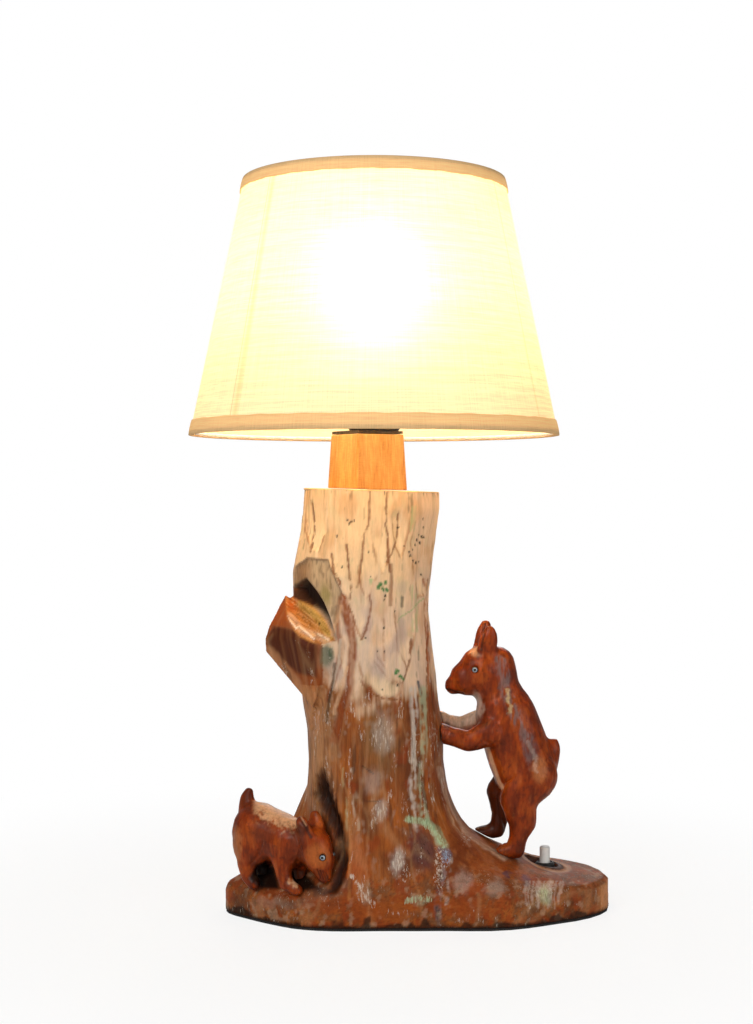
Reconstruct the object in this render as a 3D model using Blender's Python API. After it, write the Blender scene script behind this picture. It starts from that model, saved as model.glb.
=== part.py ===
"""A carved table lamp: a hewn log with two small animals, a square neck, a screw-in bulb and a fabric shade.

Metres, +Z up. The origin is on the underside, straight below the axis of the bulb holder.
The lamp is seen along +Y, with +X to the right.
"""

import math

import bmesh
import bpy
import numpy as np
from mathutils import Matrix, Vector

# Fits that every piece shares
GAP = 0.0003
OVERRUN = 0.002
ROUND_SEGMENTS = 28
FINE_SEGMENTS = 48
SMALL_SEGMENTS = 14
WIRE_SIDES = 6
SHARP_ANGLE = 35

# Log: foot, root flare and trunk
PAD_THICKNESS = 0.0015
PAD_INSET = 0.0010
BASE_REACH = 0.1605
FLARE_HEIGHT = 0.1035
TRUNK_RADIUS = 0.0470
TRUNK_TOP = 0.2875
TRUNK_COLUMNS = 60
COLUMN_STRETCH_SHARE = 1.6
TOP_SLOPE_SHARE = -0.03

# Outline of the foot: degrees from +X and reach from the axis, as shares of BASE_REACH
OUTLINE_DEGREES = (4, 12, 24, 40, 72, 90, 118, 150, 170, 181, 195, 209, 223, 247, 270, 292, 313, 330, 343,
                   351, 358)
OUTLINE_SHARES = (
    1.012, 0.965, 0.765, 0.57, 0.395, 0.385, 0.41, 0.52, 0.61, 0.632, 0.545, 0.482, 0.442, 0.37,
    0.337, 0.363, 0.455, 0.64, 0.78, 0.90, 0.98,
)

# Root flare: reach of each ring, 1 at the outline and 0 on the trunk,
# and its height in shares of FLARE_HEIGHT
FLARE_DEGREES = (0, 22, 45, 90, 150, 180, 218, 250, 285, 320)
FLARE_RINGS_SHARES = (
    (1.00, 0.19, 0.25, 0.24, 0.20, 0.17, 0.15, 0.14, 0.20, 0.22, 0.22),
    (0.97, 0.222, 0.27, 0.26, 0.23, 0.21, 0.19, 0.18, 0.22, 0.25, 0.25),
    (0.80, 0.268, 0.295, 0.30, 0.32, 0.25, 0.25, 0.23, 0.27, 0.32, 0.30),
    (0.628, 0.312, 0.335, 0.36, 0.40, 0.31, 0.295, 0.255, 0.33, 0.39, 0.36),
    (0.442, 0.385, 0.405, 0.44, 0.48, 0.42, 0.35, 0.28, 0.38, 0.47, 0.43),
    (0.30, 0.45, 0.48, 0.52, 0.55, 0.54, 0.45, 0.305, 0.44, 0.54, 0.51),
    (0.177, 0.52, 0.56, 0.61, 0.62, 0.67, 0.62, 0.335, 0.50, 0.61, 0.60),
    (0.115, 0.60, 0.635, 0.68, 0.68, 0.735, 0.70, 0.365, 0.56, 0.67, 0.67),
    (0.08, 0.665, 0.695, 0.73, 0.74, 0.77, 0.745, 0.41, 0.61, 0.73, 0.73),
    (0.053, 0.73, 0.75, 0.78, 0.80, 0.80, 0.78, 0.48, 0.67, 0.79, 0.785),
    (0.03, 0.80, 0.815, 0.84, 0.86, 0.835, 0.815, 0.58, 0.75, 0.85, 0.84),
    (0.016, 0.87, 0.88, 0.90, 0.91, 0.88, 0.86, 0.70, 0.84, 0.91, 0.90),
    (0.0, 1.0, 1.0, 1.0, 1.0, 1.0, 1.0, 0.92, 0.97, 1.0, 1.0),
)

# Trunk above the flare: height from flare to top,
# then the middle's x and the radius in shares of TRUNK_RADIUS
TRUNK_RINGS_SHARES = (
    (0.0, 0.015, 0.985),
    (0.11, 0.006, 0.99),
    (0.22, -0.060, 0.99),
    (0.33, -0.105, 1.0),
    (0.44, -0.160, 1.01),
    (0.55, -0.195, 1.0),
    (0.63, -0.195, 1.005),
    (0.70, -0.180, 1.02),
    (0.78, -0.138, 1.005),
    (0.85, -0.094, 0.99),
    (0.93, -0.057, 1.0),
    (1.0, -0.051, 0.99),
)
LOBE_COUNT = 3
LOBE_SHARE = 0.012

# Branch stub: corners of its sawn, hewn block in shares of TRUNK_RADIUS from the axis and from STUB_HEIGHT
STUB_HEIGHT = 0.1870
STUB_CORNERS_SHARES = (
    (-1.28, -0.15, 0.64),
    (-1.24, 0.10, 0.54),
    (-1.53, -0.28, 0.16),
    (-1.49, 0.10, 0.10),
    (-1.57, -0.32, 0.0),
    (-1.56, -0.28, -0.17),
    (-1.52, 0.06, -0.13),
    (-1.25, -0.62, 0.31),
    (-1.13, -0.74, 0.05),
    (-0.985, -0.84, -0.06),
    (-0.57, -0.97, -0.065),
    (-0.75, -0.40, 0.30),
    (-1.32, -0.26, -0.39),
    (-1.13, -0.28, -0.56),
    (-1.05, -0.68, -0.42),
    (-0.85, -0.70, -0.95),
    (-1.06, 0.10, -0.55),
    (-0.60, 0.0, -0.60),
)

# Hollows cut in the log
BORE_CLEARANCE = 0.0003
CHANNEL_HALF_WIDTH = 0.0110
CHANNEL_DEPTH = 0.0142
CHANNEL_END_ROOM = 0.0040
POCKET_RADIUS = 0.0120
POCKET_EXTRA_DEPTH = 0.0040
SWITCH_WALL = 0.0080
RECESS_RADIUS = 0.0089
RECESS_LIP = 0.0045
RECESS_LIP_RISE = 0.0060
RECESS_HEIGHT = 0.0200
RECESS_WALL = 0.0020

# Climbing figure: its height, its distance from the trunk and its limbs in shares of its height
CLIMBER_HEIGHT = 0.1570
CLIMBER_STANDOFF = 0.0480
CLIMBER_SINK = 0.0014
CLIMBER_LIMBS_SHARES = {
    "torso": (
        (-0.073, 0.0, 0.822, 0.084, 0.072),
        (-0.062, 0.0, 0.735, 0.088, 0.076),
        (-0.036, 0.0, 0.610, 0.133, 0.108),
        (0.016, 0.0, 0.459, 0.140, 0.120),
        (0.051, 0.0, 0.363, 0.141, 0.124),
    ),
    "head": (
        (-0.134, 0.0, 0.800, 0.107, 0.086),
        (-0.200, 0.0, 0.764, 0.079, 0.066),
        (-0.261, 0.0, 0.732, 0.042, 0.038),
    ),
    "neck": ((-0.108, 0.0, 0.771, 0.094, 0.078), (-0.060, 0.0, 0.669, 0.092, 0.080)),
    "near_ear": ((-0.120, -0.040, 0.875, 0.047, 0.026), (-0.110, -0.049, 0.942, 0.043, 0.024),
                 (-0.105, -0.052, 0.974, 0.028, 0.020)),
    "far_ear": ((-0.136, 0.036, 0.885, 0.042, 0.026), (-0.124, 0.045, 0.960, 0.039, 0.024),
                (-0.116, 0.048, 0.994, 0.026, 0.020)),
    "near_arm": (
        (-0.096, -0.070, 0.541, 0.064, 0.051),
        (-0.197, -0.080, 0.500, 0.047, 0.041),
        (-0.274, -0.074, 0.522, 0.043, 0.038),
        (-0.318, -0.062, 0.536, 0.047, 0.041),
    ),
    "far_arm": (
        (-0.108, 0.066, 0.580, 0.055, 0.045),
        (-0.223, 0.074, 0.548, 0.041, 0.038),
        (-0.287, 0.068, 0.563, 0.038, 0.035),
        (-0.318, 0.060, 0.578, 0.042, 0.038),
    ),
    "near_leg": (
        (0.070, -0.050, 0.350, 0.122, 0.085),
        (0.016, -0.072, 0.255, 0.085, 0.064),
        (0.033, -0.074, 0.153, 0.064, 0.052),
        (0.014, -0.074, 0.083, 0.042, 0.040),
        (0.004, -0.074, 0.030, 0.041, 0.040),
        (-0.055, -0.074, 0.026, 0.034, 0.036),
    ),
    "far_leg": (
        (0.057, 0.050, 0.350, 0.113, 0.083),
        (-0.045, 0.072, 0.261, 0.070, 0.058),
        (-0.051, 0.074, 0.159, 0.041, 0.042),
        (-0.064, 0.074, 0.088, 0.036, 0.038),
        (-0.150, 0.074, 0.072, 0.032, 0.036),
    ),
    "tail": ((0.155, 0.0, 0.390, 0.044, 0.036), (0.176, 0.0, 0.455, 0.034, 0.028),
             (0.178, 0.0, 0.487, 0.022, 0.020)),
}
CLIMBER_EYE_SHARES = (-0.172, 0.0745, 0.808)

# Crouching figure: its height, its place, its turn and its limbs in shares of its height
CROUCHER_HEIGHT = 0.0630
CROUCHER_DISTANCE = 0.0713
CROUCHER_DEGREES = 202
CROUCHER_TURN = -34
CROUCHER_SINK = 0.0020
CROUCHER_LIMBS_SHARES = {
    "torso": (
        (-0.205, 0.0, 0.545, 0.318, 0.275),
        (0.02, 0.0, 0.525, 0.275, 0.245),
        (0.205, 0.0, 0.475, 0.270, 0.235),
    ),
    "neck": ((0.22, 0.0, 0.500, 0.250, 0.210), (0.45, 0.0, 0.480, 0.205, 0.175)),
    "head": (
        (0.500, 0.0, 0.475, 0.215, 0.183),
        (0.585, 0.0, 0.345, 0.172, 0.150),
        (0.640, 0.0, 0.185, 0.092, 0.082),
    ),
    "near_ear": ((0.530, -0.125, 0.600, 0.085, 0.055), (0.465, -0.148, 0.735, 0.085, 0.052)),
    "far_ear": ((0.520, 0.085, 0.640, 0.080, 0.055), (0.450, 0.105, 0.760, 0.078, 0.050)),
    "near_hind_leg": (
        (-0.225, -0.110, 0.420, 0.240, 0.160),
        (-0.262, -0.130, 0.230, 0.125, 0.105),
        (-0.255, -0.130, 0.090, 0.085, 0.085),
        (-0.175, -0.130, 0.020, 0.080, 0.082),
    ),
    "far_hind_leg": (
        (-0.210, 0.110, 0.400, 0.235, 0.160),
        (-0.310, 0.130, 0.190, 0.125, 0.105),
        (-0.270, 0.130, 0.040, 0.085, 0.085),
        (-0.140, 0.130, 0.000, 0.080, 0.082),
    ),
    "near_foreleg": (
        (0.175, -0.110, 0.390, 0.165, 0.120),
        (0.205, -0.125, 0.200, 0.090, 0.088),
        (0.245, -0.125, 0.065, 0.076, 0.080),
        (0.390, -0.125, 0.020, 0.066, 0.078),
    ),
    "far_foreleg": (
        (0.240, 0.110, 0.380, 0.160, 0.120),
        (0.240, 0.125, 0.180, 0.085, 0.085),
        (0.260, 0.125, 0.040, 0.075, 0.080),
        (0.440, 0.125, -0.010, 0.070, 0.080),
    ),
    "tail": ((-0.365, 0.0, 0.780, 0.115, 0.085), (-0.372, 0.0, 0.880, 0.090, 0.070),
             (-0.345, 0.0, 0.955, 0.062, 0.050)),
}
CROUCHER_EYE_SHARES = (0.685, 0.083, 0.390)

# How the figures are rounded over
FIGURE_GRAIN = 0.0016
FIGURE_SMOOTHING = 5
CLIMBER_KEEP_SHARE = 0.085
CROUCHER_KEEP_SHARE = 0.135
LIMB_SEGMENTS = 16
LIMB_RINGS = 8
EYE_RADIUS = 0.0021

# Neck block and the dark plate on it
NECK_OFFSET = -0.0046
NECK_BOTTOM_SIDE = 0.0397
NECK_TOP_SIDE = 0.0362
NECK_TURN = 31
NECK_HEIGHT = 0.0372
NECK_BEVEL = 0.0008
PLATE_THICKNESS = 0.0020
PLATE_INSET = 0.0005

# Threaded tube with its nuts and washer
TUBE_RADIUS = 0.0050
TUBE_BORE = 0.0040
TUBE_TAIL = 0.0020
TUBE_HEAD = 0.0010
NUT_FLAT = 0.0140
NUT_HEIGHT = 0.0030
WASHER_RADIUS = 0.0090
WASHER_THICKNESS = 0.0016

# Bulb holder
CAP_RADIUS = 0.0195
CAP_FOOT_RADIUS = 0.0165
CAP_FOOT_RISE = 0.0040
CAP_HEIGHT = 0.0220
CAP_WALL = 0.0022
CAP_FLOOR = 0.0030
INSERT_START = 0.0160
INSERT_FLOOR = 0.0050
INSERT_HEIGHT = 0.0270
INSERT_WALL = 0.0026
SLEEVE_RADIUS = 0.0198
SLEEVE_WALL = 0.0022
SLEEVE_HEIGHT = 0.0280
FLANGE_RADIUS = 0.0225
FLANGE_HEIGHT = 0.0030
SLEEVE_THREADS = 6
SLEEVE_THREAD_DEPTH = 0.0005
SHADE_RING_RADIUS = 0.0240
SHADE_RING_HEIGHT = 0.0065
SHADE_RING_WALL = 0.0025
SCREW_SHELL_HEIGHT = 0.0215
SCREW_SHELL_WALL = 0.0005
CONTACT_RADIUS = 0.0042
CONTACT_HEIGHT = 0.0020
TERMINAL_SIDE = 0.0050
TERMINAL_PLACE = 0.0080
TERMINAL_HEIGHT = 0.0050

# Bulb
BULB_CAP_RADIUS = 0.01310
BULB_CAP_HEIGHT = 0.0215
BULB_CAP_WALL = 0.0006
BULB_THREADS = 5
BULB_THREAD_DEPTH = 0.0006
TIP_RADIUS = 0.0044
TIP_HEIGHT = 0.0012
INSULATOR_HEIGHT = 0.0038
BULB_RADIUS = 0.0300
BULB_HEIGHT = 0.1072
BULB_NECK_RADIUS = 0.0124
GLASS_WALL = 0.0008
GLASS_PROFILE_SHARES = ((0.0, 0.0), (0.13, 0.02), (0.30, 0.16), (0.50, 0.52), (0.68, 0.86), (0.82, 1.0))
CROWN_POINTS = 5
STEM_RADIUS = 0.0055
STEM_HEIGHT = 0.0440
FILAMENT_RADIUS = 0.0012
FILAMENT_REACH = 0.0130

# Shade
SHADE_BOTTOM_RADIUS = 0.1250
SHADE_TOP_RADIUS = 0.0885
SHADE_HEIGHT = 0.1730
SHADE_WALL = 0.0008
SHADE_DROP = 0.0290
TRIM_WALL = 0.0005
TOP_TRIM_HEIGHT = 0.0085
BOTTOM_TRIM_HEIGHT = 0.0100
WIRE_RADIUS = 0.0014
ARM_COUNT = 3
ARM_RADIUS = 0.0013
ARM_FLAT = 0.0120
CARRIER_THICKNESS = 0.0016
CARRIER_RADIUS = 0.0262

# Push switch
SWITCH_X = 0.1170
SWITCH_Y = 0.0050
SWITCH_SEAT = 0.0285
BUSH_RADIUS = 0.0050
BUSH_BORE = 0.0038
BUSH_STAND = 0.0036
SWITCH_NUT_RADIUS = 0.0066
SWITCH_NUT_HEIGHT = 0.0040
SWITCH_NUT_CHAMFER = 0.0011
SWITCH_BODY_RADIUS = 0.0100
SWITCH_BODY_HEIGHT = 0.0125
SWITCH_WALL_THICKNESS = 0.0016
PLUNGER_RADIUS = 0.0035
PLUNGER_STAND = 0.0108
PLUNGER_CHAMFER = 0.0009
PLUNGER_TRAVEL = 0.0025
PLUNGER_FOOT_RADIUS = 0.0062
PLUNGER_FOOT_HEIGHT = 0.0018
SPRING_TURNS = 4
SPRING_WIRE = 0.0004
SPRING_RADIUS = 0.0045
SWITCH_TAB_WIDTH = 0.0030
SWITCH_TAB_HEIGHT = 0.0028
SWITCH_TAB_PLACE = 0.0050

# Wiring in the foot
BLOCK_X = 0.0450
BLOCK_LENGTH = 0.0240
BLOCK_WIDTH = 0.0130
BLOCK_HEIGHT = 0.0090
BLOCK_SCREW_RADIUS = 0.0016
BLOCK_SCREW_HEAD = 0.0030
BLOCK_SCREW_LENGTH = 0.0150
CLAMP_SCREW_RADIUS = 0.0018
CLAMP_SCREW_DEPTH = 0.0030
CLAMP_SCREW_PLACE = 0.0075
LEAD_RADIUS = 0.0011
LEAD_OFFSET = 0.0018
LEAD_SAG = 0.0045
LEAD_LANE = 0.0092
LEAD_STEP = 0.0080
INLET_X = 0.0200
INLET_RISE = 0.0088
INLET_RADIUS = 0.0053
INLET_BORE = 0.0037
INLET_LENGTH = 0.0140
INLET_FLANGE_RADIUS = 0.0075
INLET_FLANGE = 0.0020
INLET_SPOTFACE = 0.0030

# Heights that follow from the sizes above
LOG_BOTTOM = PAD_THICKNESS + GAP
CHANNEL_ROOF = LOG_BOTTOM + CHANNEL_DEPTH
POCKET_ROOF = CHANNEL_ROOF + POCKET_EXTRA_DEPTH
NECK_BOTTOM = TRUNK_TOP + GAP
NECK_TOP = NECK_BOTTOM + NECK_HEIGHT
PLATE_BOTTOM = NECK_TOP + GAP
CAP_BOTTOM = PLATE_BOTTOM + PLATE_THICKNESS + GAP
CAP_TOP = CAP_BOTTOM + CAP_HEIGHT
INSERT_BOTTOM = CAP_BOTTOM + INSERT_START
INSERT_SEAT = INSERT_BOTTOM + INSERT_FLOOR
SLEEVE_BOTTOM = CAP_TOP + GAP
INSERT_RADIUS = CAP_RADIUS - CAP_WALL - GAP
SCREW_SHELL_RADIUS = INSERT_RADIUS - INSERT_WALL - GAP
CARRIER_BOTTOM = SLEEVE_BOTTOM + FLANGE_HEIGHT + GAP
SHADE_RING_BOTTOM = CARRIER_BOTTOM + CARRIER_THICKNESS + GAP
BULB_BOTTOM = INSERT_SEAT + GAP + CONTACT_HEIGHT + GAP
BULB_CAP_BOTTOM = BULB_BOTTOM + TIP_HEIGHT + GAP + INSULATOR_HEIGHT + GAP
GLASS_BOTTOM = BULB_CAP_BOTTOM + BULB_CAP_HEIGHT + GAP
SHADE_BOTTOM = CARRIER_BOTTOM - SHADE_DROP
SHADE_TOP = SHADE_BOTTOM + SHADE_HEIGHT
TUBE_BOTTOM = CHANNEL_ROOF - GAP - WASHER_THICKNESS - GAP - NUT_HEIGHT - TUBE_TAIL
TUBE_TOP = CAP_BOTTOM + CAP_FLOOR + GAP + NUT_HEIGHT + TUBE_HEAD
BORE_RADIUS = TUBE_RADIUS + BORE_CLEARANCE
SWITCH_BODY_TOP = SWITCH_SEAT - SWITCH_WALL - GAP
SWITCH_BODY_BOTTOM = SWITCH_BODY_TOP - SWITCH_BODY_HEIGHT
BUSH_TOP = SWITCH_SEAT + BUSH_STAND
INLET_HEIGHT = LOG_BOTTOM + INLET_RISE


def clear_scene():
    for old in list(bpy.data.objects):
        bpy.data.objects.remove(old, do_unlink=True)


def material(name, colour, roughness, metallic=0.0, emission=0.0):
    made = bpy.data.materials.new(name)
    made.use_nodes = True
    shader = made.node_tree.nodes["Principled BSDF"]
    shader.inputs["Base Color"].default_value = (*colour, 1.0)
    shader.inputs["Roughness"].default_value = roughness
    shader.inputs["Metallic"].default_value = metallic
    if emission:
        shader.inputs["Emission Color"].default_value = (*colour, 1.0)
        shader.inputs["Emission Strength"].default_value = emission
    return made


def finished(name, bm, finish, smooth=True, cutter=False):
    """Turns a bmesh into an object of the scene, or into a hidden cutter."""
    bmesh.ops.recalc_face_normals(bm, faces=bm.faces)
    mesh = bpy.data.meshes.new(name)
    bm.to_mesh(mesh)
    bm.free()
    if smooth:
        mesh.shade_smooth()
        mesh.set_sharp_from_angle(angle=math.radians(SHARP_ANGLE))
    made = bpy.data.objects.new(name, mesh)
    bpy.context.scene.collection.objects.link(made)
    if cutter:
        made.hide_render = True
        made.display_type = "WIRE"
    else:
        mesh.materials.append(finish)
    return made


def boolean(target, other, operation):
    change = target.modifiers.new(operation.lower() + "_" + other.name, "BOOLEAN")
    change.operation = operation
    change.solver = "EXACT"
    change.object = other


def bridge(bm, lower, upper):
    """Faces between two rings of vertices, either of which may be a single point."""
    count = max(len(lower), len(upper))
    for i in range(count):
        after = (i + 1) % count
        corners = [
            lower[i % len(lower)],
            lower[after % len(lower)],
            upper[after % len(upper)],
            upper[i % len(upper)],
        ]
        bm.faces.new(list(dict.fromkeys(corners)))


def turned_mesh(outline, segments):
    """A closed body of revolution about Z. An outline that starts and ends on the axis stays open there."""
    bm = bmesh.new()
    rings = []
    for radius, height in outline:
        if radius == 0:
            rings.append([bm.verts.new((0, 0, height))])
            continue
        angles = [math.tau * i / segments for i in range(segments)]
        rings.append([bm.verts.new((radius * math.cos(a), radius * math.sin(a), height)) for a in angles])
    pairs = list(zip(rings, rings[1:]))
    if outline[0][0] != 0:
        pairs.append((rings[-1], rings[0]))
    for lower, upper in pairs:
        bridge(bm, lower, upper)
    return bm


def turned(name, outline, finish, segments=ROUND_SEGMENTS, centre=(0, 0), cutter=False):
    made = finished(name, turned_mesh(outline, segments), finish, cutter=cutter)
    made.location = (centre[0], centre[1], 0)
    return made


def rod_outline(radius, bottom, top):
    return ((0, bottom), (radius, bottom), (radius, top), (0, top))


def ring_outline(inner, outer, bottom, top):
    return ((inner, bottom), (outer, bottom), (outer, top), (inner, top))


def box(name, low, high, finish, cutter=False):
    bm = bmesh.new()
    bmesh.ops.create_cube(bm, size=1)
    size = Vector(high) - Vector(low)
    middle = (Vector(high) + Vector(low)) / 2
    bmesh.ops.transform(bm, matrix=Matrix.Translation(middle) @ Matrix.Diagonal((*size, 1)), verts=bm.verts)
    return finished(name, bm, finish, smooth=False, cutter=cutter)


def hexagon_nut(name, across_flats, bore, bottom, height, finish):
    nut = turned(name, rod_outline(across_flats / math.sqrt(3), bottom, bottom + height), finish,
                 segments=6)
    hole = turned(name + "_hole", rod_outline(bore, bottom - OVERRUN, bottom + height + OVERRUN), None,
                  segments=ROUND_SEGMENTS, cutter=True)
    boolean(nut, hole, "DIFFERENCE")
    return nut


def smooth_route(points, step):
    """Places along a smooth curve through the given points, about a step apart."""
    points = [Vector(p) for p in points]
    padded = [2 * points[0] - points[1], *points, 2 * points[-1] - points[-2]]
    places = [points[0]]
    for before, start, end, after in zip(padded, padded[1:], padded[2:], padded[3:]):
        pieces = max(1, round((end - start).length / step))
        for i in range(1, pieces + 1):
            t = i / pieces
            slope_start = (end - before) / 2
            slope_end = (after - start) / 2
            places.append(
                start * (2 * t**3 - 3 * t**2 + 1)
                + slope_start * (t**3 - 2 * t**2 + t)
                + end * (3 * t**2 - 2 * t**3)
                + slope_end * (t**3 - t**2)
            )
    return places


def lead(name, points, finish):
    curve = bpy.data.curves.new(name, "CURVE")
    curve.dimensions = "3D"
    curve.bevel_depth = LEAD_RADIUS
    curve.bevel_resolution = 1
    curve.use_fill_caps = True
    places = smooth_route(points, LEAD_STEP)
    spline = curve.splines.new("POLY")
    spline.points.add(len(places) - 1)
    for point, place in zip(spline.points, places):
        point.co = (*place, 1)
    curve.materials.append(finish)
    made = bpy.data.objects.new(name, curve)
    bpy.context.scene.collection.objects.link(made)
    return made


def tube_mesh(bm, places, radius, sides):
    """A round bar through the places, closed by a point at each end."""
    rings = []
    for i, place in enumerate(places):
        ahead = places[min(i + 1, len(places) - 1)]
        behind = places[max(i - 1, 0)]
        along = (ahead - behind).normalized()
        side = along.orthogonal().normalized() if i == 0 else (side - along * side.dot(along)).normalized()
        other = along.cross(side)
        angles = [math.tau * k / sides for k in range(sides)]
        spokes = [side * math.cos(a) + other * math.sin(a) for a in angles]
        rings.append([bm.verts.new(place + spoke * radius) for spoke in spokes])
    for lower, upper in zip(rings, rings[1:]):
        bridge(bm, lower, upper)
    bm.faces.new(rings[0])
    bm.faces.new(rings[-1])


def curve_value(degrees, values, at):
    """The value at an angle, on a smooth closed curve through values given at rising degrees."""
    count = len(degrees)
    at = at % 360
    after = next((i for i in range(count) if degrees[i] > at), count)
    places = [degrees[(after + k) % count] + 360 * ((after + k) // count) for k in (-2, -1, 0, 1)]
    heights = [values[(after + k) % count] for k in (-2, -1, 0, 1)]
    span = places[2] - places[1]
    t = (at - places[1]) / span
    slope_start = (heights[2] - heights[0]) / (places[2] - places[0]) * span
    slope_end = (heights[3] - heights[1]) / (places[3] - places[1]) * span
    return (
        heights[1] * (2 * t**3 - 3 * t**2 + 1)
        + slope_start * (t**3 - 2 * t**2 + t)
        + heights[2] * (3 * t**2 - 2 * t**3)
        + slope_end * (t**3 - t**2)
    )


def outline_reach(angle):
    return BASE_REACH * curve_value(OUTLINE_DEGREES, OUTLINE_SHARES, math.degrees(angle))


def trunk_radius(angle, share):
    return TRUNK_RADIUS * (share + LOBE_SHARE * math.cos(LOBE_COUNT * angle))


def flare_height(angle, ring):
    return FLARE_HEIGHT * curve_value(FLARE_DEGREES, ring[1:], math.degrees(angle))


def ground_height(x, y):
    """Height of the foot's upper surface above the table at a place beside the trunk."""
    angle = math.atan2(y, x)
    start = trunk_radius(angle, TRUNK_RINGS_SHARES[0][2])
    reach = (math.hypot(x, y) - start) / (outline_reach(angle) - start)
    rings = FLARE_RINGS_SHARES[::-1]
    return float(np.interp(reach, [ring[0] for ring in rings],
                           [flare_height(angle, ring) for ring in rings]))


def log_mesh(grow):
    """The log as rings of vertices from its underside to its top, made larger all round by grow."""
    turns = [math.tau * i / TRUNK_COLUMNS for i in range(TRUNK_COLUMNS)]
    angles = [math.atan2(math.sin(t), COLUMN_STRETCH_SHARE * math.cos(t)) for t in turns]
    bm = bmesh.new()
    base_middle = TRUNK_RADIUS * TRUNK_RINGS_SHARES[0][1]
    base_share = TRUNK_RINGS_SHARES[0][2]

    def ring_at(place):
        return [bm.verts.new(place(angle)) for angle in angles]

    def foot_place(angle):
        reach = outline_reach(angle) + grow
        return (reach * math.cos(angle), reach * math.sin(angle), LOG_BOTTOM - grow)

    rings = [ring_at(foot_place)]
    for ring in FLARE_RINGS_SHARES:

        def flare_place(angle, ring=ring):
            reach = trunk_radius(angle, base_share) * (1 - ring[0]) + outline_reach(angle) * ring[0] + grow
            middle = base_middle * (1 - ring[0])
            height = flare_height(angle, ring) + grow
            return (middle + reach * math.cos(angle), reach * math.sin(angle), height)

        rings.append(ring_at(flare_place))
    for share, middle_share, radius_share in TRUNK_RINGS_SHARES[1:]:

        def trunk_place(angle, share=share, middle_share=middle_share, radius_share=radius_share):
            reach = trunk_radius(angle, radius_share) + grow
            x = TRUNK_RADIUS * middle_share + reach * math.cos(angle)
            height = FLARE_HEIGHT + (TRUNK_TOP - FLARE_HEIGHT) * share
            if share == 1:
                height += TOP_SLOPE_SHARE * x + grow
            return (x, reach * math.sin(angle), height)

        rings.append(ring_at(trunk_place))
    for lower, upper in zip(rings, rings[1:]):
        bridge(bm, lower, upper)
    bm.faces.new(rings[0])
    bm.faces.new(rings[-1])
    return bm


def stub_mesh():
    bm = bmesh.new()
    for x, y, z in STUB_CORNERS_SHARES:
        bm.verts.new((TRUNK_RADIUS * x, TRUNK_RADIUS * y, STUB_HEIGHT + TRUNK_RADIUS * z))
    hull = bmesh.ops.convex_hull(bm, input=bm.verts)
    bmesh.ops.delete(bm, geom=hull["geom_interior"], context="VERTS")
    return bm


def inlet_place():
    """Middle of the flat that is cut for the cable bush at the back of the foot."""
    y = CHANNEL_HALF_WIDTH
    while math.hypot(INLET_X, y) < outline_reach(math.atan2(y, INLET_X)):
        y += GAP
    return y - INLET_SPOTFACE


def facing_back(made, place):
    """Lays a piece that was turned about Z along +Y, with its zero height at the place."""
    made.rotation_euler = (-math.pi / 2, 0, 0)
    made.location = place
    return made


def make_log(wood):
    log = finished("trunk", log_mesh(0), wood)
    stub = finished("stub_form", stub_mesh(), None, smooth=False, cutter=True)
    boolean(log, stub, "UNION")
    low = LOG_BOTTOM - OVERRUN
    high = SWITCH_SEAT + RECESS_HEIGHT
    lip = RECESS_RADIUS + RECESS_LIP
    hole = BUSH_RADIUS + GAP
    ceiling = SWITCH_SEAT - SWITCH_WALL
    switch_outline = (
        (0, low),
        (POCKET_RADIUS, low),
        (POCKET_RADIUS, ceiling),
        (hole, ceiling),
        (hole, SWITCH_SEAT),
        (RECESS_RADIUS, SWITCH_SEAT),
        (RECESS_RADIUS, SWITCH_SEAT + RECESS_WALL),
        (lip, SWITCH_SEAT + RECESS_LIP_RISE),
        (lip, high),
        (0, high),
    )
    cutters = [
        turned("bore_cut", rod_outline(BORE_RADIUS, low, TRUNK_TOP + RECESS_HEIGHT), None, cutter=True),
        box("channel_cut", (-WASHER_RADIUS - CHANNEL_END_ROOM, -CHANNEL_HALF_WIDTH, low),
            (SWITCH_X, CHANNEL_HALF_WIDTH, CHANNEL_ROOF), None, cutter=True),
        turned("switch_cut", switch_outline, None, centre=(SWITCH_X, SWITCH_Y), cutter=True),
    ]
    face = inlet_place()
    sleeve = INLET_RADIUS + GAP
    flange = INLET_FLANGE_RADIUS + GAP
    inlet = turned("inlet_cut",
                   ((0, -face), (sleeve, -face), (sleeve, 0), (flange, 0), (flange, BASE_REACH),
                    (0, BASE_REACH)),
                   None, cutter=True)
    cutters.append(facing_back(inlet, (INLET_X, face, INLET_HEIGHT)))
    pilot = turned("pilot_cut", rod_outline(BLOCK_SCREW_RADIUS + GAP, LOG_BOTTOM - OVERRUN,
                                            CHANNEL_ROOF - BLOCK_HEIGHT + BLOCK_SCREW_LENGTH + OVERRUN), None,
                   segments=SMALL_SEGMENTS, centre=(BLOCK_X, 0), cutter=True)
    cutters.append(pilot)
    for cutter in cutters:
        boolean(log, cutter, "DIFFERENCE")
    return log


def make_pad(felt):
    turns = [math.tau * i / TRUNK_COLUMNS for i in range(TRUNK_COLUMNS)]
    angles = [math.atan2(math.sin(t), COLUMN_STRETCH_SHARE * math.cos(t)) for t in turns]
    bm = bmesh.new()
    rings = []
    for height in (0, PAD_THICKNESS):
        reaches = [outline_reach(angle) - PAD_INSET for angle in angles]
        rings.append([bm.verts.new((r * math.cos(a), r * math.sin(a), height)) for r,
                      a in zip(reaches, angles)])
    bridge(bm, rings[0], rings[1])
    bm.faces.new(rings[0])
    bm.faces.new(rings[1])
    return finished("base_pad", bm, felt, smooth=False)


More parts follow.
